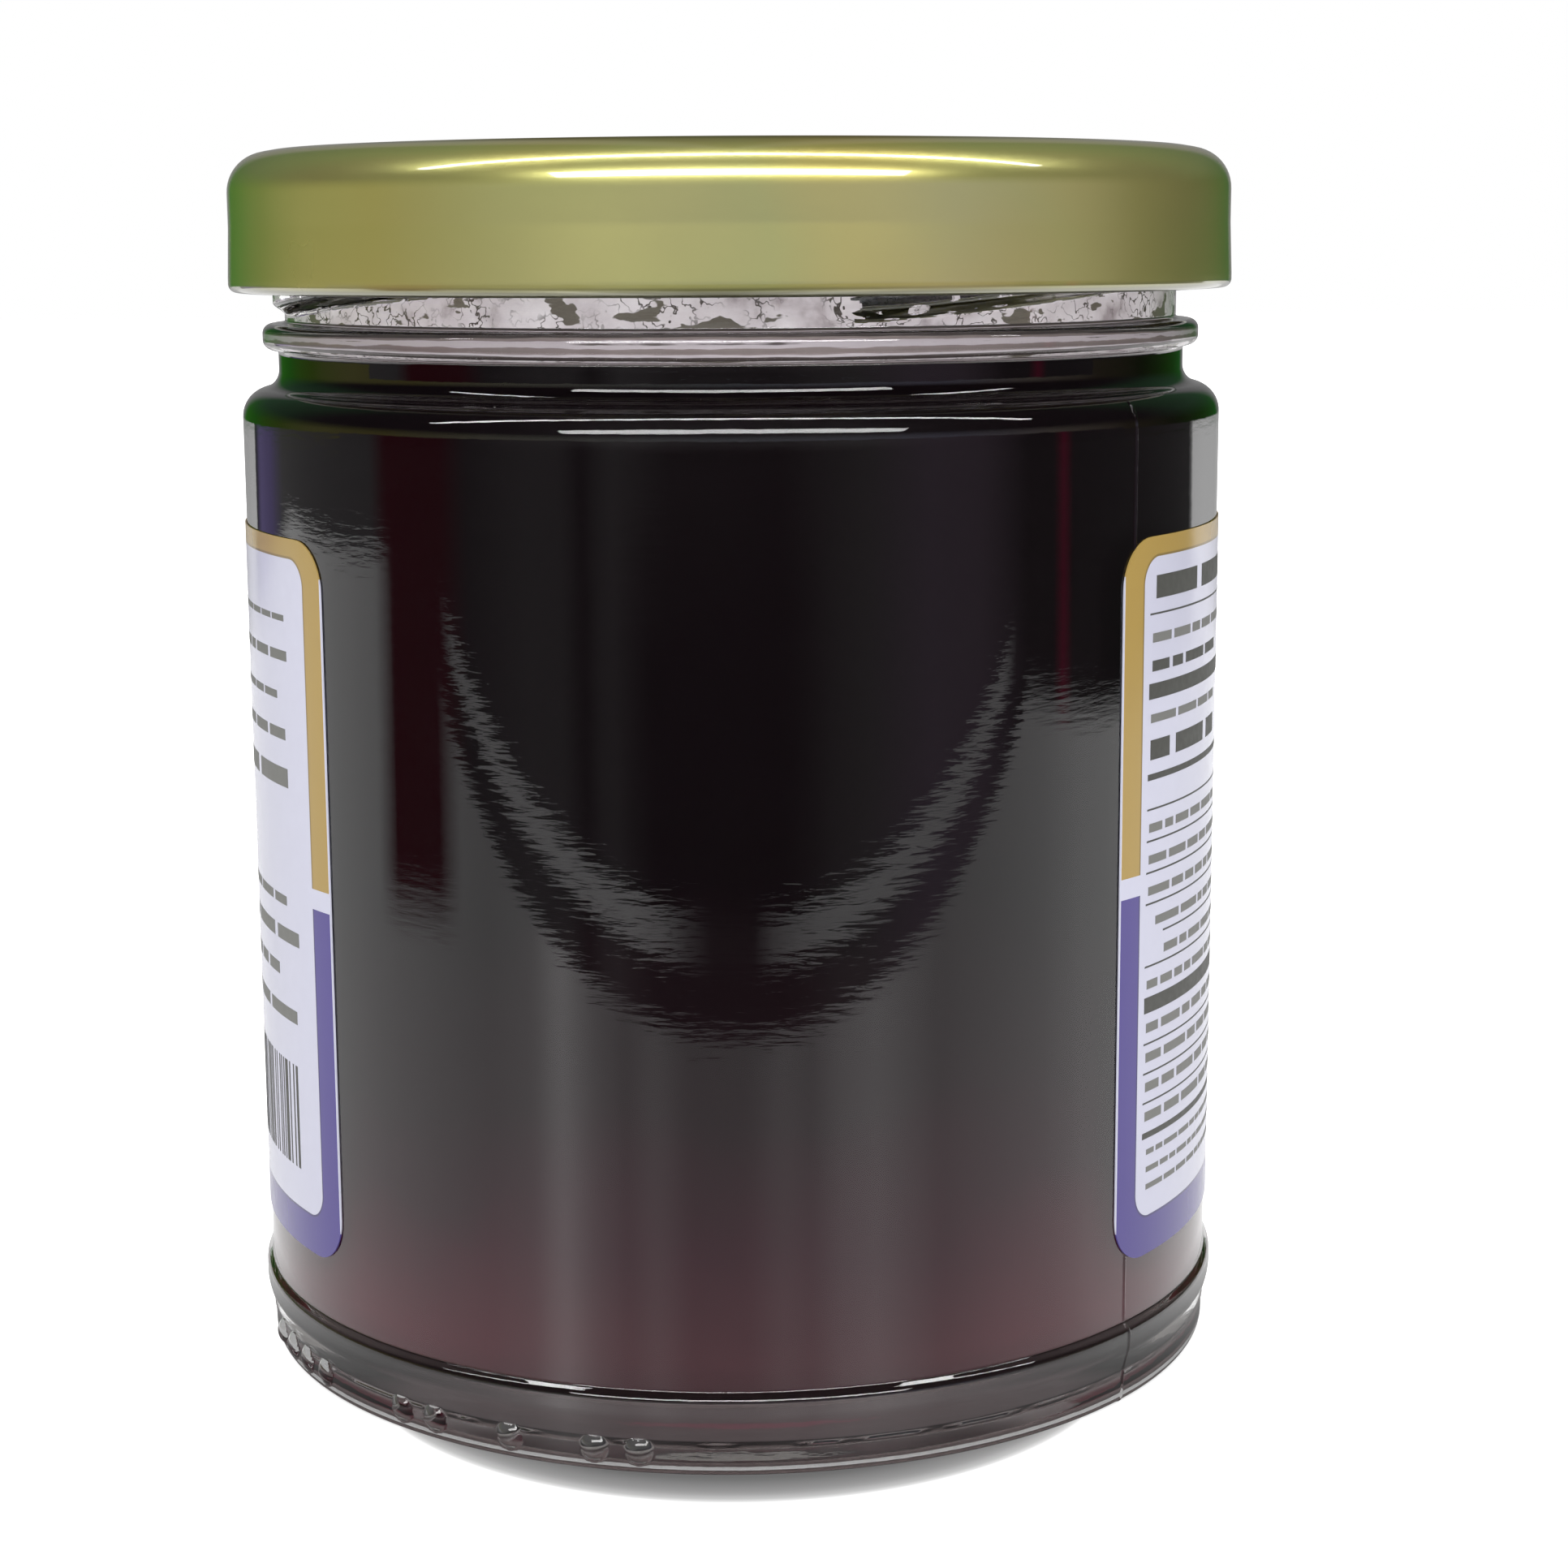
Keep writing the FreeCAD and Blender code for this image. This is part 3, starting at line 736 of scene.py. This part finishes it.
def jelly_piece(material):
    """The filling, a hair into the wall, with a surface that climbs at the glass."""
    into = JELLY_INTO_WALL
    side = rounded([
        (0, DOME_Z - into, 0), (DOME_R, DOME_Z - into, DOME_ROUND),
        (CAVITY_R + into, FLOOR_Z - into, FLOOR_CORNER + into),
        (CAVITY_R + into, INNER_SHOULDER_Z + into, INNER_ROUND),
        (INNER_NECK_R + into, INNER_NECK_Z + into, INNER_ROUND), (MOUTH_R + into, BEAD_TOP_Z, 0),
    ])
    side = [spot for spot in side if spot.y < FILL_Z]
    end = side[-1]
    slope = (MOUTH_R + into - end.x) / (BEAD_TOP_Z - end.y)
    edge_r = end.x + slope * (FILL_Z - end.y)
    side.append(Vector((edge_r, FILL_Z)))
    surface = []
    for step in range(1, MENISCUS_STEPS + 1):
        inwards = step / MENISCUS_STEPS
        fall = MENISCUS * (1 - (1 - inwards) ** MENISCUS_BEND)
        surface.append(Vector((edge_r - MENISCUS_REACH * inwards, FILL_Z - fall)))
    surface += [Vector((LEVEL_R, FILL_Z - MENISCUS)), Vector((0, FILL_Z - MENISCUS))]
    points, faces = lathe(supported(side) + surface, ring_angles(1.0))
    piece = add_piece("jelly_fill", points, faces, material, "jelly")
    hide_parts("jelly")


# ---- Foam on the inside of the neck ----
FILM_LOW_Z = FILL_Z + 0.05
FILM_HIGH_Z = LID_EDGE_Z + 0.9
FILM_CELL = 0.14
FILM_THICK = 0.12
FILM_THIN = 0.03            # thinnest foam, and how far it reaches into the glass
SPOTS_LEFT = 0.36           # above this noise level a spot stays behind a thread


def behind_thread(angle, height):
    """Whether a thread stands in front of one spot of the neck."""
    turned_by, middle = thread_at(angle)
    ragged = 5 * noise.noise(place(MOUTH_R, angle, height) * 0.8)
    return 6 + ragged < turned_by < THREAD_ARC - 6 + ragged and height > middle - 1.25


def film_present(angle, height):
    """Whether foam covers one spot of the neck: everywhere but behind most of the threads."""
    if height < BEAD_TOP_Z + 0.15 or not behind_thread(angle, height):
        return True
    spot = place(MOUTH_R, angle, height)
    return noise.noise(Vector((spot.x * 0.7, spot.y * 0.7, height * 1.3 + SEED))) > SPOTS_LEFT


def radius_at(path, height):
    """Radius of an upright polyline at one height."""
    for start, end in zip(path, path[1:]):
        if min(start.y, end.y) <= height <= max(start.y, end.y) and start.y != end.y:
            return start.x + (end.x - start.x) * (height - start.y) / (end.y - start.y)
    return path[-1].x


def neck_film(material):
    """Thin crust of foam, in patches, on the glass above the jelly."""
    wall = rounded(glass_inside())
    columns = round(2 * math.pi * MOUTH_R / FILM_CELL)
    rows = round((FILM_HIGH_Z - FILM_LOW_Z) / FILM_CELL)
    angles = [FULL_TURN * index / columns for index in range(columns)]
    heights = spread(FILM_LOW_Z, FILM_HIGH_Z, rows + 1)
    points = []
    faces = []
    index_of = {}

    def corner(column, row, layer):
        key = (column % columns, row, layer)
        if key not in index_of:
            angle, height = angles[key[0]], heights[row]
            bulge = FILM_THICK * (0.6 + noise.noise(place(MOUTH_R, angle, height) * 1.6))
            base = radius_at(wall, height)
            radius = base + FILM_THIN if layer == 0 else base - max(bulge, FILM_THIN)
            index_of[key] = len(points)
            points.append(place(radius, angle, height))
        return index_of[key]

    present = [[film_present(angles[c] + 180 / columns, (heights[r] + heights[r + 1]) / 2)
                for c in range(columns)] for r in range(rows)]

    def has(column, row):
        return 0 <= row < rows and present[row][column % columns]

    for row in range(rows):
        for column in range(columns):
            if not has(column, row):
                continue
            near, far = [[corner(column + across, row + up, layer)
                          for across, up in ((0, 0), (1, 0), (1, 1), (0, 1))] for layer in (0, 1)]
            faces.append(near)
            faces.append(far[::-1])
            sides = ((column, row - 1, 0, 1), (column + 1, row, 1, 2),
                     (column, row + 1, 2, 3), (column - 1, row, 3, 0))
            for next_column, next_row, first, second in sides:
                if not has(next_column, next_row):
                    faces.append([near[second], near[first], far[first], far[second]])
    add_piece("neck_foam", points, faces, material, sharp_angle=60.0)


# ---- Lid ----
def lid_piece(material):
    """Twist-off lid with its button, ring, rounded shoulder and rolled edge."""
    outer = [
        (0, BUTTON_Z, 0), (BUTTON_R, BUTTON_Z, BUTTON_ROUND),
        (BUTTON_FOOT_R, PANEL_Z, BUTTON_ROUND),
        (STEP_R - STEP_WIDTH - SHEET, PANEL_Z, 0.5), (STEP_R - SHEET, LID_TOP_Z, 0.5),
        (RING_FLAT_R, LID_TOP_Z, 1.5), (SKIRT_R, LID_TOP_Z - RING_FALL, 2.9),
        (SKIRT_R, SKIRT_BEND_Z, 6), (CURL_R, CURL_START_Z, 4), (CURL_R, LID_EDGE_Z, 0.6),
        (CURL_R - CURL_WIDTH, LID_EDGE_Z, 0.7),
        (CURL_R - CURL_WIDTH, LID_EDGE_Z + CURL_HEIGHT, 0.7),
    ]
    inner = [
        (SKIRT_R - SHEET, LID_EDGE_Z + CURL_HEIGHT, 0.1),
        (SKIRT_R - SHEET, LID_TOP_Z - RING_FALL - SHEET, 2.6),
        (RING_FLAT_R, LID_TOP_Z - SHEET, 1.2), (STEP_R, LID_TOP_Z - SHEET, 0.3),
        (STEP_R - STEP_WIDTH, PANEL_Z - SHEET, 0.3),
        (BUTTON_FOOT_R, PANEL_Z - SHEET, BUTTON_ROUND),
        (BUTTON_R, BUTTON_Z - SHEET, BUTTON_ROUND), (0, BUTTON_Z - SHEET, 0),
    ]
    path = supported(rounded(outer + inner))
    points, faces = lathe(path, ring_angles(0.75))
    piece = add_piece("gold_lid", points, faces, material, "lid_gold")
    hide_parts("lid")


# ---- Label ----
def label_sheet(material):
    """Paper wrapped round the back, with rounded corners and real thickness."""
    angles = []
    corner_degrees = LABEL_CORNER / DEG_MM
    corner_steps = 10
    for step in range(corner_steps):
        turn = math.pi / 2 * step / corner_steps
        angles.append(LABEL_FIRST + corner_degrees * (1 - math.cos(turn)))
    start, stop = LABEL_FIRST + corner_degrees, LABEL_LAST - corner_degrees
    angles += spread(start, stop, round(stop - start) + 1)
    angles += [LABEL_FIRST + LABEL_LAST - value for value in angles[corner_steps - 1::-1]]
    rows = 24
    points = []
    for radius in (LABEL_R, LABEL_INNER_R):
        for angle in angles:
            from_end = min(angle - LABEL_FIRST, LABEL_LAST - angle) * DEG_MM
            inset = 0.0
            if from_end < LABEL_CORNER:
                inset = LABEL_CORNER - math.sqrt(max(
                    LABEL_CORNER ** 2 - (LABEL_CORNER - from_end) ** 2, 0.0))
            for height in spread(LABEL_LOW.z + inset, LABEL_HIGH.z - inset, rows + 1):
                points.append(place(radius, angle, height))
    columns = len(angles)
    layer = columns * (rows + 1)

    def at(column, row, side):
        return side * layer + column * (rows + 1) + row

    faces = []
    for column in range(columns - 1):
        after = column + 1
        for row in range(rows):
            faces.append((at(column, row, 0), at(after, row, 0),
                          at(after, row + 1, 0), at(column, row + 1, 0)))
            faces.append((at(column, row + 1, 1), at(after, row + 1, 1),
                          at(after, row, 1), at(column, row, 1)))
        for row, side in ((0, 1), (rows, 0)):
            faces.append((at(column, row, side), at(after, row, side),
                          at(after, row, 1 - side), at(column, row, 1 - side)))
    for row in range(rows):
        for column, side in ((0, 1), (columns - 1, 0)):
            faces.append((at(column, row, side), at(column, row, 1 - side),
                          at(column, row + 1, 1 - side), at(column, row + 1, side)))
    piece = add_piece("label_sheet", points, faces, material, "label_paper")
    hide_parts("label")


# ---- Print on the label: plain bars where the lines of small print go ----
PRINT_LIFT = 0.012
PRINT_SUNK = 0.01           # how far the ink reaches into the paper
PRINT_STEP = 2.0            # degrees of a bar that may be one straight piece
PANEL_LEFT = 52.0           # left edge of the table at the label's right end
PANEL_WIDTH = 40.0
COLUMN_RIGHT = -60.0        # right edge of the lines at the label's left end
COLUMN_WIDTH = 34.0
ROW_PITCH = 2.235
FINE_PITCH = 1.28
RULE_THICK = 0.13
FINE_PRINT = 43.0           # lines further down than this run the panel's whole width
SHORTEST_WORD = 0.5
CODE_TOP = 37.9             # the place of the bar code, below the sheet's top
CODE_BOTTOM = 45.5
CODE_WIDTH = 22.0
COLUMN_LINES = (            # distance below the top, thickness and inset of the left column's lines
    (5.65, 0.55, 0.0), (8.3, 0.9, -0.3), (11.2, 0.7, 1.8), (13.9, 1.0, 0.4), (17.0, 1.7, 0.2),
    (26.0, 0.85, 1.3), (28.5, 1.3, -0.8), (31.3, 1.1, 3.5), (34.3, 1.2, 0.0),
)


def panel_marks():
    """Table: (kind, distance of its middle below the sheet's top, thickness, inset in mm)."""
    marks = [("bold", 3.5, 1.6, 0.8), ("rule", 5.33, RULE_THICK, 0), ("words", 7.0, 0.65, 0.4),
             ("bold", 8.95, 0.75, 0.4), ("bar", 10.7, 1.1, 0), ("words", 12.6, 0.6, 0.3),
             ("bold", 14.8, 1.4, 0.3), ("bar", 16.7, 0.45, 0)]
    for index in range(6):
        inset = (0, 0, 0, 0, 2.6, 0)[index]
        below = 18.98 + ROW_PITCH * index
        marks.append(("rule", below, RULE_THICK, inset))
        text_inset = (0.3, 0.3, 0.3, 1.4, 2.8, 0.3)[index]
        marks.append(("words", below + 1.32, 0.62, text_inset))
    marks.append(("bar", 32.95, 1.15, 0))
    for index in range(4):
        below = 34.6 + 2.15 * index
        marks.append(("words", below, 0.68, 0.3))
        if index < 3:
            marks.append(("rule", below + 1.15, RULE_THICK, 0))
    marks.append(("bar", 42.45, 0.45, 0))
    marks += [("words", 43.7 + FINE_PITCH * index, 0.4, 0.6) for index in range(3)]
    return marks


def words(last, height, rng):
    """Lengths of print along a line, broken like words: (start, end) in millimetres."""
    pieces = []
    at = 0
    while at < last - SHORTEST_WORD:
        length = rng.uniform(1.6, 5.2) * height * 1.25
        pieces.append((at, min(at + length, last)))
        at += length + 0.75 * height
    return pieces


def add_bar(points, faces, start, end, low, high):
    """One thin raised bar of ink that follows the paper; start and end are angles."""
    steps = max(1, math.ceil((end - start) / PRINT_STEP))
    first = len(points)
    for angle in spread(start, end, steps + 1):
        for radius, height in ((LABEL_R - PRINT_SUNK, low), (LABEL_R + PRINT_LIFT, low),
                               (LABEL_R + PRINT_LIFT, high), (LABEL_R - PRINT_SUNK, high)):
            points.append(place(radius, angle, height))
    for step in range(steps):
        near, far = first + 4 * step, first + 4 * step + 4
        for side in range(4):
            after = (side + 1) % 4
            faces.append((near + side, far + side, far + after, near + after))
    last = first + 4 * steps
    faces.append((first, first + 1, first + 2, first + 3))
    faces.append((last + 3, last + 2, last + 1, last))


def label_print(dark, soft):
    """Rules, bars and word-like blocks of both columns of small print, and the bar code's bars."""
    rng = random.Random(SEED)
    dark_marks = ([], [])
    soft_marks = ([], [])
    top = LABEL_HIGH.z
    for kind, below, thick, inset in panel_marks():
        start = PANEL_LEFT + inset / DEG_MM
        end = PANEL_LEFT + PANEL_WIDTH / DEG_MM
        low, high = top - below - thick / 2, top - below + thick / 2
        if kind in ("rule", "bar"):
            add_bar(*dark_marks, start, end, low, high)
            continue
        length = PANEL_WIDTH - inset
        line = length if below > FINE_PRINT else rng.uniform(0.35, 0.6) * length
        marks = dark_marks if kind == "bold" else soft_marks
        for begin, stop in words(line, thick, rng):
            add_bar(*marks, start + begin / DEG_MM, start + stop / DEG_MM, low, high)
    for below, thick, inset in COLUMN_LINES:
        right = COLUMN_RIGHT - inset / DEG_MM
        line = rng.uniform(0.7, 1.0) * COLUMN_WIDTH
        for begin, stop in words(line, thick * 0.8, rng):
            add_bar(*soft_marks, right - stop / DEG_MM, right - begin / DEG_MM,
                    top - below - thick * 0.4, top - below + thick * 0.4)
    at = 0.3
    while at < CODE_WIDTH:
        width = rng.choice((0.22, 0.22, 0.4, 0.6))
        right = COLUMN_RIGHT - at / DEG_MM
        add_bar(*dark_marks, right - width / DEG_MM, right, top - CODE_BOTTOM, top - CODE_TOP)
        at += width + rng.choice((0.25, 0.35, 0.6))
    add_piece("label_bars", *dark_marks, dark, sharp_angle=30.0)
    add_piece("label_words", *soft_marks, soft, sharp_angle=30.0)


# ---- Stage, light and camera ----
# Glass and metal mirror a white table that ends a little in front of the jar, with a lit front
# edge, and a dim room beyond.  All change with the bearing: degrees from the front, positive
# to +X.  Levels are radiances.
TABLE_FRONT = 0.149
TABLE_BACK = 0.380
STRIP_NEAR = 0.179
STRIP_FAR = 0.203
STRIP_LEFT = -68.0
STRIP_RIGHT = 65.0
TABLE_LEFT = 0.640
TABLE_RIGHT = 0.350
CLOTH_NEAR = 0.200          # a dark red cloth lies on the table from here on, at the left
CLOTH_FIRST = -86.0
CLOTH_LAST = -68.0
SHADE_AHEAD = 0.012         # the painted shadow under the jar reaches this far in front of it
FOCUS = 0.020               # where bearings are taken from, in front of the axis
TOP_LEVEL = 2.0             # radiance that a full ramp colour stands for

TABLE_GLOW = [
    (-134, 1.05), (-118, 1.35), (-97, 1.3), (-76, 1.15), (-58, 0.95), (-48, 1.15), (-41, 2.0),
    (-33, 1.1), (-26, 0.72), (-19, 0.95), (-11, 0.58), (2, 0.6), (10, 0.92), (17, 0.8),
    (24, 1.25), (32, 1.5), (39, 1.2), (47, 0.87), (56, 1.02), (74, 1.3), (85, 1.6), (110, 1.55),
    (134, 1.2),
]
STRIP_GLOW = [(-68, 0.9), (-57, 1.3), (-24, 1.5), (-17, 1.1), (-11, 0.35), (-6, 0.03),
              (4, 0.03), (9, 0.6), (16, 1.1), (25, 1.3), (65, 1.1)]
DARK_RED = (0.15, 0.012, 0.02)
VIOLET = (0.24, 0.20, 0.42)
RIM_GLOW_LEFT = [(-180, 0.35), (-162, 0.42), (-155, 0.60), (-146, 0.95)]
RIM_GLOW_RIGHT = [(133, 1.55), (141, 1.20), (147, 0.92), (156, 0.60), (180, 0.35)]
ROOM_GLOW = RIM_GLOW_LEFT + [
    (-145, 0.06), (-141, VIOLET), (-133, VIOLET), (-126, 0.20), (-90, 0.20), (-85, DARK_RED),
    (-69, DARK_RED), (-62, 0.08), (-47, 0.17), (-39, 0.16), (-34, 0.03), (-27, 0.20), (-14, 0.05),
    (10, 0.02), (30, 0.17), (45, (0.30, 0.24, 0.31)), (57, (0.28, 0.22, 0.28)), (70, 0.05),
    (78, 0.05), (80, (0.5, 0.03, 0.10)), (83, 0.06), (132, 0.08),
] + RIM_GLOW_RIGHT
HIGH_GREEN = (0.04, 0.10, 0.05)
HIGH_GLOW = [
    (-180, 0.02), (-176, 0.02), (-171, 0.20), (-163, 0.20), (-157, HIGH_GREEN),
    (-132, HIGH_GREEN), (-112, 0.03), (0, 0.03), (112, 0.03), (132, HIGH_GREEN),
    (157, HIGH_GREEN), (163, 0.20), (171, 0.20), (176, 0.02), (180, 0.02),
]
FAR_GLOW = [
    (-180, 0.28), (-164, 0.25), (-157, (0.03, 0.16, 0.015)), (-145, (0.03, 0.17, 0.015)),
    (-128, (0.10, 0.19, 0.02)),
    (-108, (0.34, 0.34, 0.11)), (-84, (0.41, 0.37, 0.11)), (-52, (0.54, 0.55, 0.42)),
    (0, (0.42, 0.46, 0.52)), (50, (0.50, 0.50, 0.66)), (78, (0.48, 0.42, 0.34)),
    (102, (0.10, 0.09, 0.05)), (122, (0.02, 0.035, 0.01)), (142, (0.02, 0.08, 0.01)),
    (157, (0.02, 0.11, 0.02)), (164, 0.25), (180, 0.28),
]
FAR_OFF = 1.1               # metres to where the floor counts as the horizon


def glow(nodes, bearing, stops):
    """Radiance by bearing, as a colour to be scaled by TOP_LEVEL."""
    share = nodes.math("ADD", nodes.math("DIVIDE", bearing, 2 * math.pi), 0.5)
    return nodes.ramp(share, [
        (angle / FULL_TURN + 0.5, tuple(value / TOP_LEVEL for value in rgba(level)[:3]))
        for angle, level in stops])


def seen_rays(nodes, rays):
    """1 for rays from the eye, straight or through glass."""
    return nodes.math("MAXIMUM", rays.outputs["Is Camera Ray"], rays.outputs["Is Transmission Ray"])


def glossy_rays(nodes, rays, through):
    """1 for mirrored rays that went through glass, or for those that did not; 0 for the rest."""
    side = nodes.math("GREATER_THAN" if through else "LESS_THAN",
                      rays.outputs["Transmission Depth"], 0.5)
    return nodes.times(rays.outputs["Is Glossy Ray"], side)


def floor_material():
    """Plain pale floor, with a painted shadow under the jar and a painted glow beneath it for
    diffuse rays.  In reflections it is the white table with the dim room beyond.
    """
    material, nodes = new_material("pale_floor")
    position = nodes.add("ShaderNodeNewGeometry").outputs["Position"]
    sideways, backward, _ = nodes.split(position)
    forward = nodes.times(backward, -1.0)
    bearing = nodes.math("ARCTAN2", sideways, nodes.minus(forward, FOCUS))
    degrees = nodes.math("DEGREES", bearing)
    away = nodes.length(sideways, forward)
    past = nodes.rise(away, CLOTH_NEAR - 0.02, CLOTH_NEAR + 0.02)
    cloth = nodes.times(nodes.band(degrees, CLOTH_FIRST, CLOTH_LAST, 6.0), past)
    on_table = nodes.times(nodes.band(forward, -9.0, TABLE_FRONT, 0.006),
                           nodes.band(sideways, -TABLE_LEFT, TABLE_RIGHT, 0.05))
    back = nodes.rise(forward, -TABLE_BACK - 0.04, -TABLE_BACK + 0.04)
    on_table = nodes.times(nodes.times(on_table, back), nodes.minus(1.0, cloth))
    strip = nodes.times(nodes.band(forward, STRIP_NEAR, STRIP_FAR, 0.004),
                        nodes.band(degrees, STRIP_LEFT, STRIP_RIGHT, 4.0))
    middle = nodes.times(nodes.rise(away, 0.90, 0.40), nodes.band(degrees, -24.0, 16.0, 12.0))
    room = nodes.mix(nodes.times(middle, 0.95), glow(nodes, bearing, ROOM_GLOW), 0.0)
    far_off = nodes.rise(away, FAR_OFF, 1.3 * FAR_OFF)
    behind = nodes.math("GREATER_THAN", nodes.math("ABSOLUTE", degrees), 100.0)
    room = nodes.mix(nodes.times(far_off, behind), room, glow(nodes, bearing, FAR_GLOW))
    mirrored = nodes.mix(on_table, room, glow(nodes, bearing, TABLE_GLOW))
    mirrored = nodes.mix(strip, mirrored, glow(nodes, bearing, STRIP_GLOW))
    open_floor = nodes.rise(away, 0.0345, 0.046)
    reflected = nodes.add("ShaderNodeEmission", {
        "Color": mirrored, "Strength": nodes.times(open_floor, TOP_LEVEL)})

    rays = nodes.add("ShaderNodeLightPath")
    seen = seen_rays(nodes, rays)
    # Painted shadow: the floor's colour and its white glow darken under the jar and just in front
    # of it.
    from_shade = nodes.length(sideways, nodes.minus(forward, SHADE_AHEAD))
    share = nodes.math("DIVIDE", nodes.math(
        "MINIMUM", from_shade, nodes.minus(away, 0.0077)), 0.1)
    brighter = nodes.ramp(share, [(0.265, 0.0), (0.276, 0.12), (0.288, 0.8), (0.33, 1.0)])
    # Painted shade seen through the glass: under the foot the floor is darker for rays through the
    # glass.
    under_glass = nodes.ramp(nodes.math("DIVIDE", away, 0.1), [
        (0.34, 0.0), (0.45, 0.35), (0.70, 0.75), (0.95, 1.0)])
    brighter = nodes.mix(rays.outputs["Is Camera Ray"],
                         nodes.math("MINIMUM", brighter, under_glass), brighter)
    # Painted light: for diffuse rays the floor under the jar glows, which lights the jelly's
    # underside.
    glow_under_jar = nodes.times(rays.outputs["Is Diffuse Ray"],
                             nodes.math("LESS_THAN", away, 0.034))
    fill = nodes.add("ShaderNodeEmission", {"Strength": nodes.math(
        "ADD", nodes.times(seen, brighter), nodes.times(glow_under_jar, 0.5))})
    shade = nodes.ramp(share, [(0.240, 0.10), (0.260, 0.19), (0.276, 0.32), (0.288, 0.88)])
    pale = nodes.add("ShaderNodeBsdfDiffuse", {"Color": nodes.mix(seen, 0.88, shade)})
    lit = nodes.add("ShaderNodeAddShader", {0: pale, 1: fill})
    nodes.surface(nodes.add("ShaderNodeMixShader", {
        0: glossy_rays(nodes, rays, False), 1: lit, 2: reflected}))
    return material


def add_floor():
    bpy.ops.mesh.primitive_plane_add(size=6.0, location=(0, 0, 0))
    floor = bpy.context.object
    floor.name = "floor"
    floor.data.materials.append(floor_material())


def set_world():
    """White all round for the eye and through glass, and the dim room in reflections."""
    world = bpy.data.worlds.new("studio")
    bpy.context.scene.world = world
    world.use_nodes = True
    nodes = Nodes(world.node_tree)
    direction = nodes.add("ShaderNodeTexCoord").outputs["Generated"]
    sideways, backward, upward = nodes.split(direction)
    bearing = nodes.math("ARCTAN2", sideways, nodes.times(backward, -1.0))
    room = nodes.mix(nodes.rise(upward, 0.04, 0.26),
                     glow(nodes, bearing, FAR_GLOW), glow(nodes, bearing, HIGH_GLOW))
    rays = nodes.add("ShaderNodeLightPath")
    seen = seen_rays(nodes, rays)
    plain = nodes.mix(seen, 0.55, 1.0)
    plain = nodes.mix(glossy_rays(nodes, rays, True), plain, (0.24, 0.23, 0.22))
    open_air = nodes.add("ShaderNodeBackground", {"Color": plain, "Strength": 1.0})
    mirrored = nodes.add("ShaderNodeBackground", {"Color": room, "Strength": TOP_LEVEL})
    nodes.add("ShaderNodeOutputWorld", {"Surface": nodes.add("ShaderNodeMixShader", {
        0: glossy_rays(nodes, rays, False), 1: open_air, 2: mirrored})})


def add_lamp(name, elevation, distance, size, radiance):
    """Lamp in front of the jar and aimed at it; its power follows from its radiance and area."""
    aim = Vector((0, 0, 0.05))
    up = math.radians(elevation)
    towards = Vector((0, -math.cos(up), math.sin(up)))
    data = bpy.data.lights.new(name, "AREA")
    data.shape = "RECTANGLE"
    data.size, data.size_y = size
    data.energy = radiance * math.pi * size[0] * size[1]
    lamp = bpy.data.objects.new(name, data)
    lamp.location = aim + towards * distance
    lamp.rotation_euler = towards.to_track_quat("Z", "Y").to_euler()
    bpy.context.scene.collection.objects.link(lamp)


CAMERA_PLACE = (0, -0.22670, 0.08192)
CAMERA_TURNS = (10.283, -0.938, -0.328)     # degrees down, to the left and of roll
CAMERA_LENS = 69.23


def add_camera():
    """Camera a little above the lid's edge, looking down at the middle of the jar."""
    pitch, yaw, roll = (math.radians(angle) for angle in CAMERA_TURNS)
    level = Vector((-math.sin(yaw), math.cos(yaw), 0))
    upright = Vector((0, 0, 1))
    forward = level * math.cos(pitch) - upright * math.sin(pitch)
    up = level * math.sin(pitch) + upright * math.cos(pitch)
    right = Vector((math.cos(yaw), math.sin(yaw), 0))
    rolled_right = right * math.cos(roll) + up * math.sin(roll)
    rolled_up = up * math.cos(roll) - right * math.sin(roll)
    data = bpy.data.cameras.new("camera")
    data.sensor_width = 36.0
    data.lens = CAMERA_LENS
    data.clip_start = 0.01
    camera = bpy.data.objects.new("camera", data)
    axes = Matrix((rolled_right, rolled_up, -forward)).transposed().to_4x4()
    camera.matrix_world = Matrix.Translation(CAMERA_PLACE) @ axes
    bpy.context.scene.collection.objects.link(camera)
    bpy.context.scene.camera = camera


def main():
    bpy.context.scene.view_settings.view_transform = "Standard"
    add_camera()
    add_floor()
    set_world()
    add_lamp("overhead_lamp", elevation=76, distance=0.9, size=(2.5, 0.08), radiance=17.0)
    add_lamp("front_lamp", elevation=30, distance=1.1, size=(1.6, 0.27), radiance=12.0)
    glass_jar(glass_material())
    jelly_piece(jelly_material())
    neck_film(film_material())
    lid_piece(lid_material())
    label_sheet(label_material())
    label_print(ink_material("dark_ink", INK), ink_material("soft_ink", SOFT_INK))
    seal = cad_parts["lid_seal"]
    seal.data.materials.clear()
    seal.data.materials.append(seal_material())


main()
bpy.context.view_layer.update()
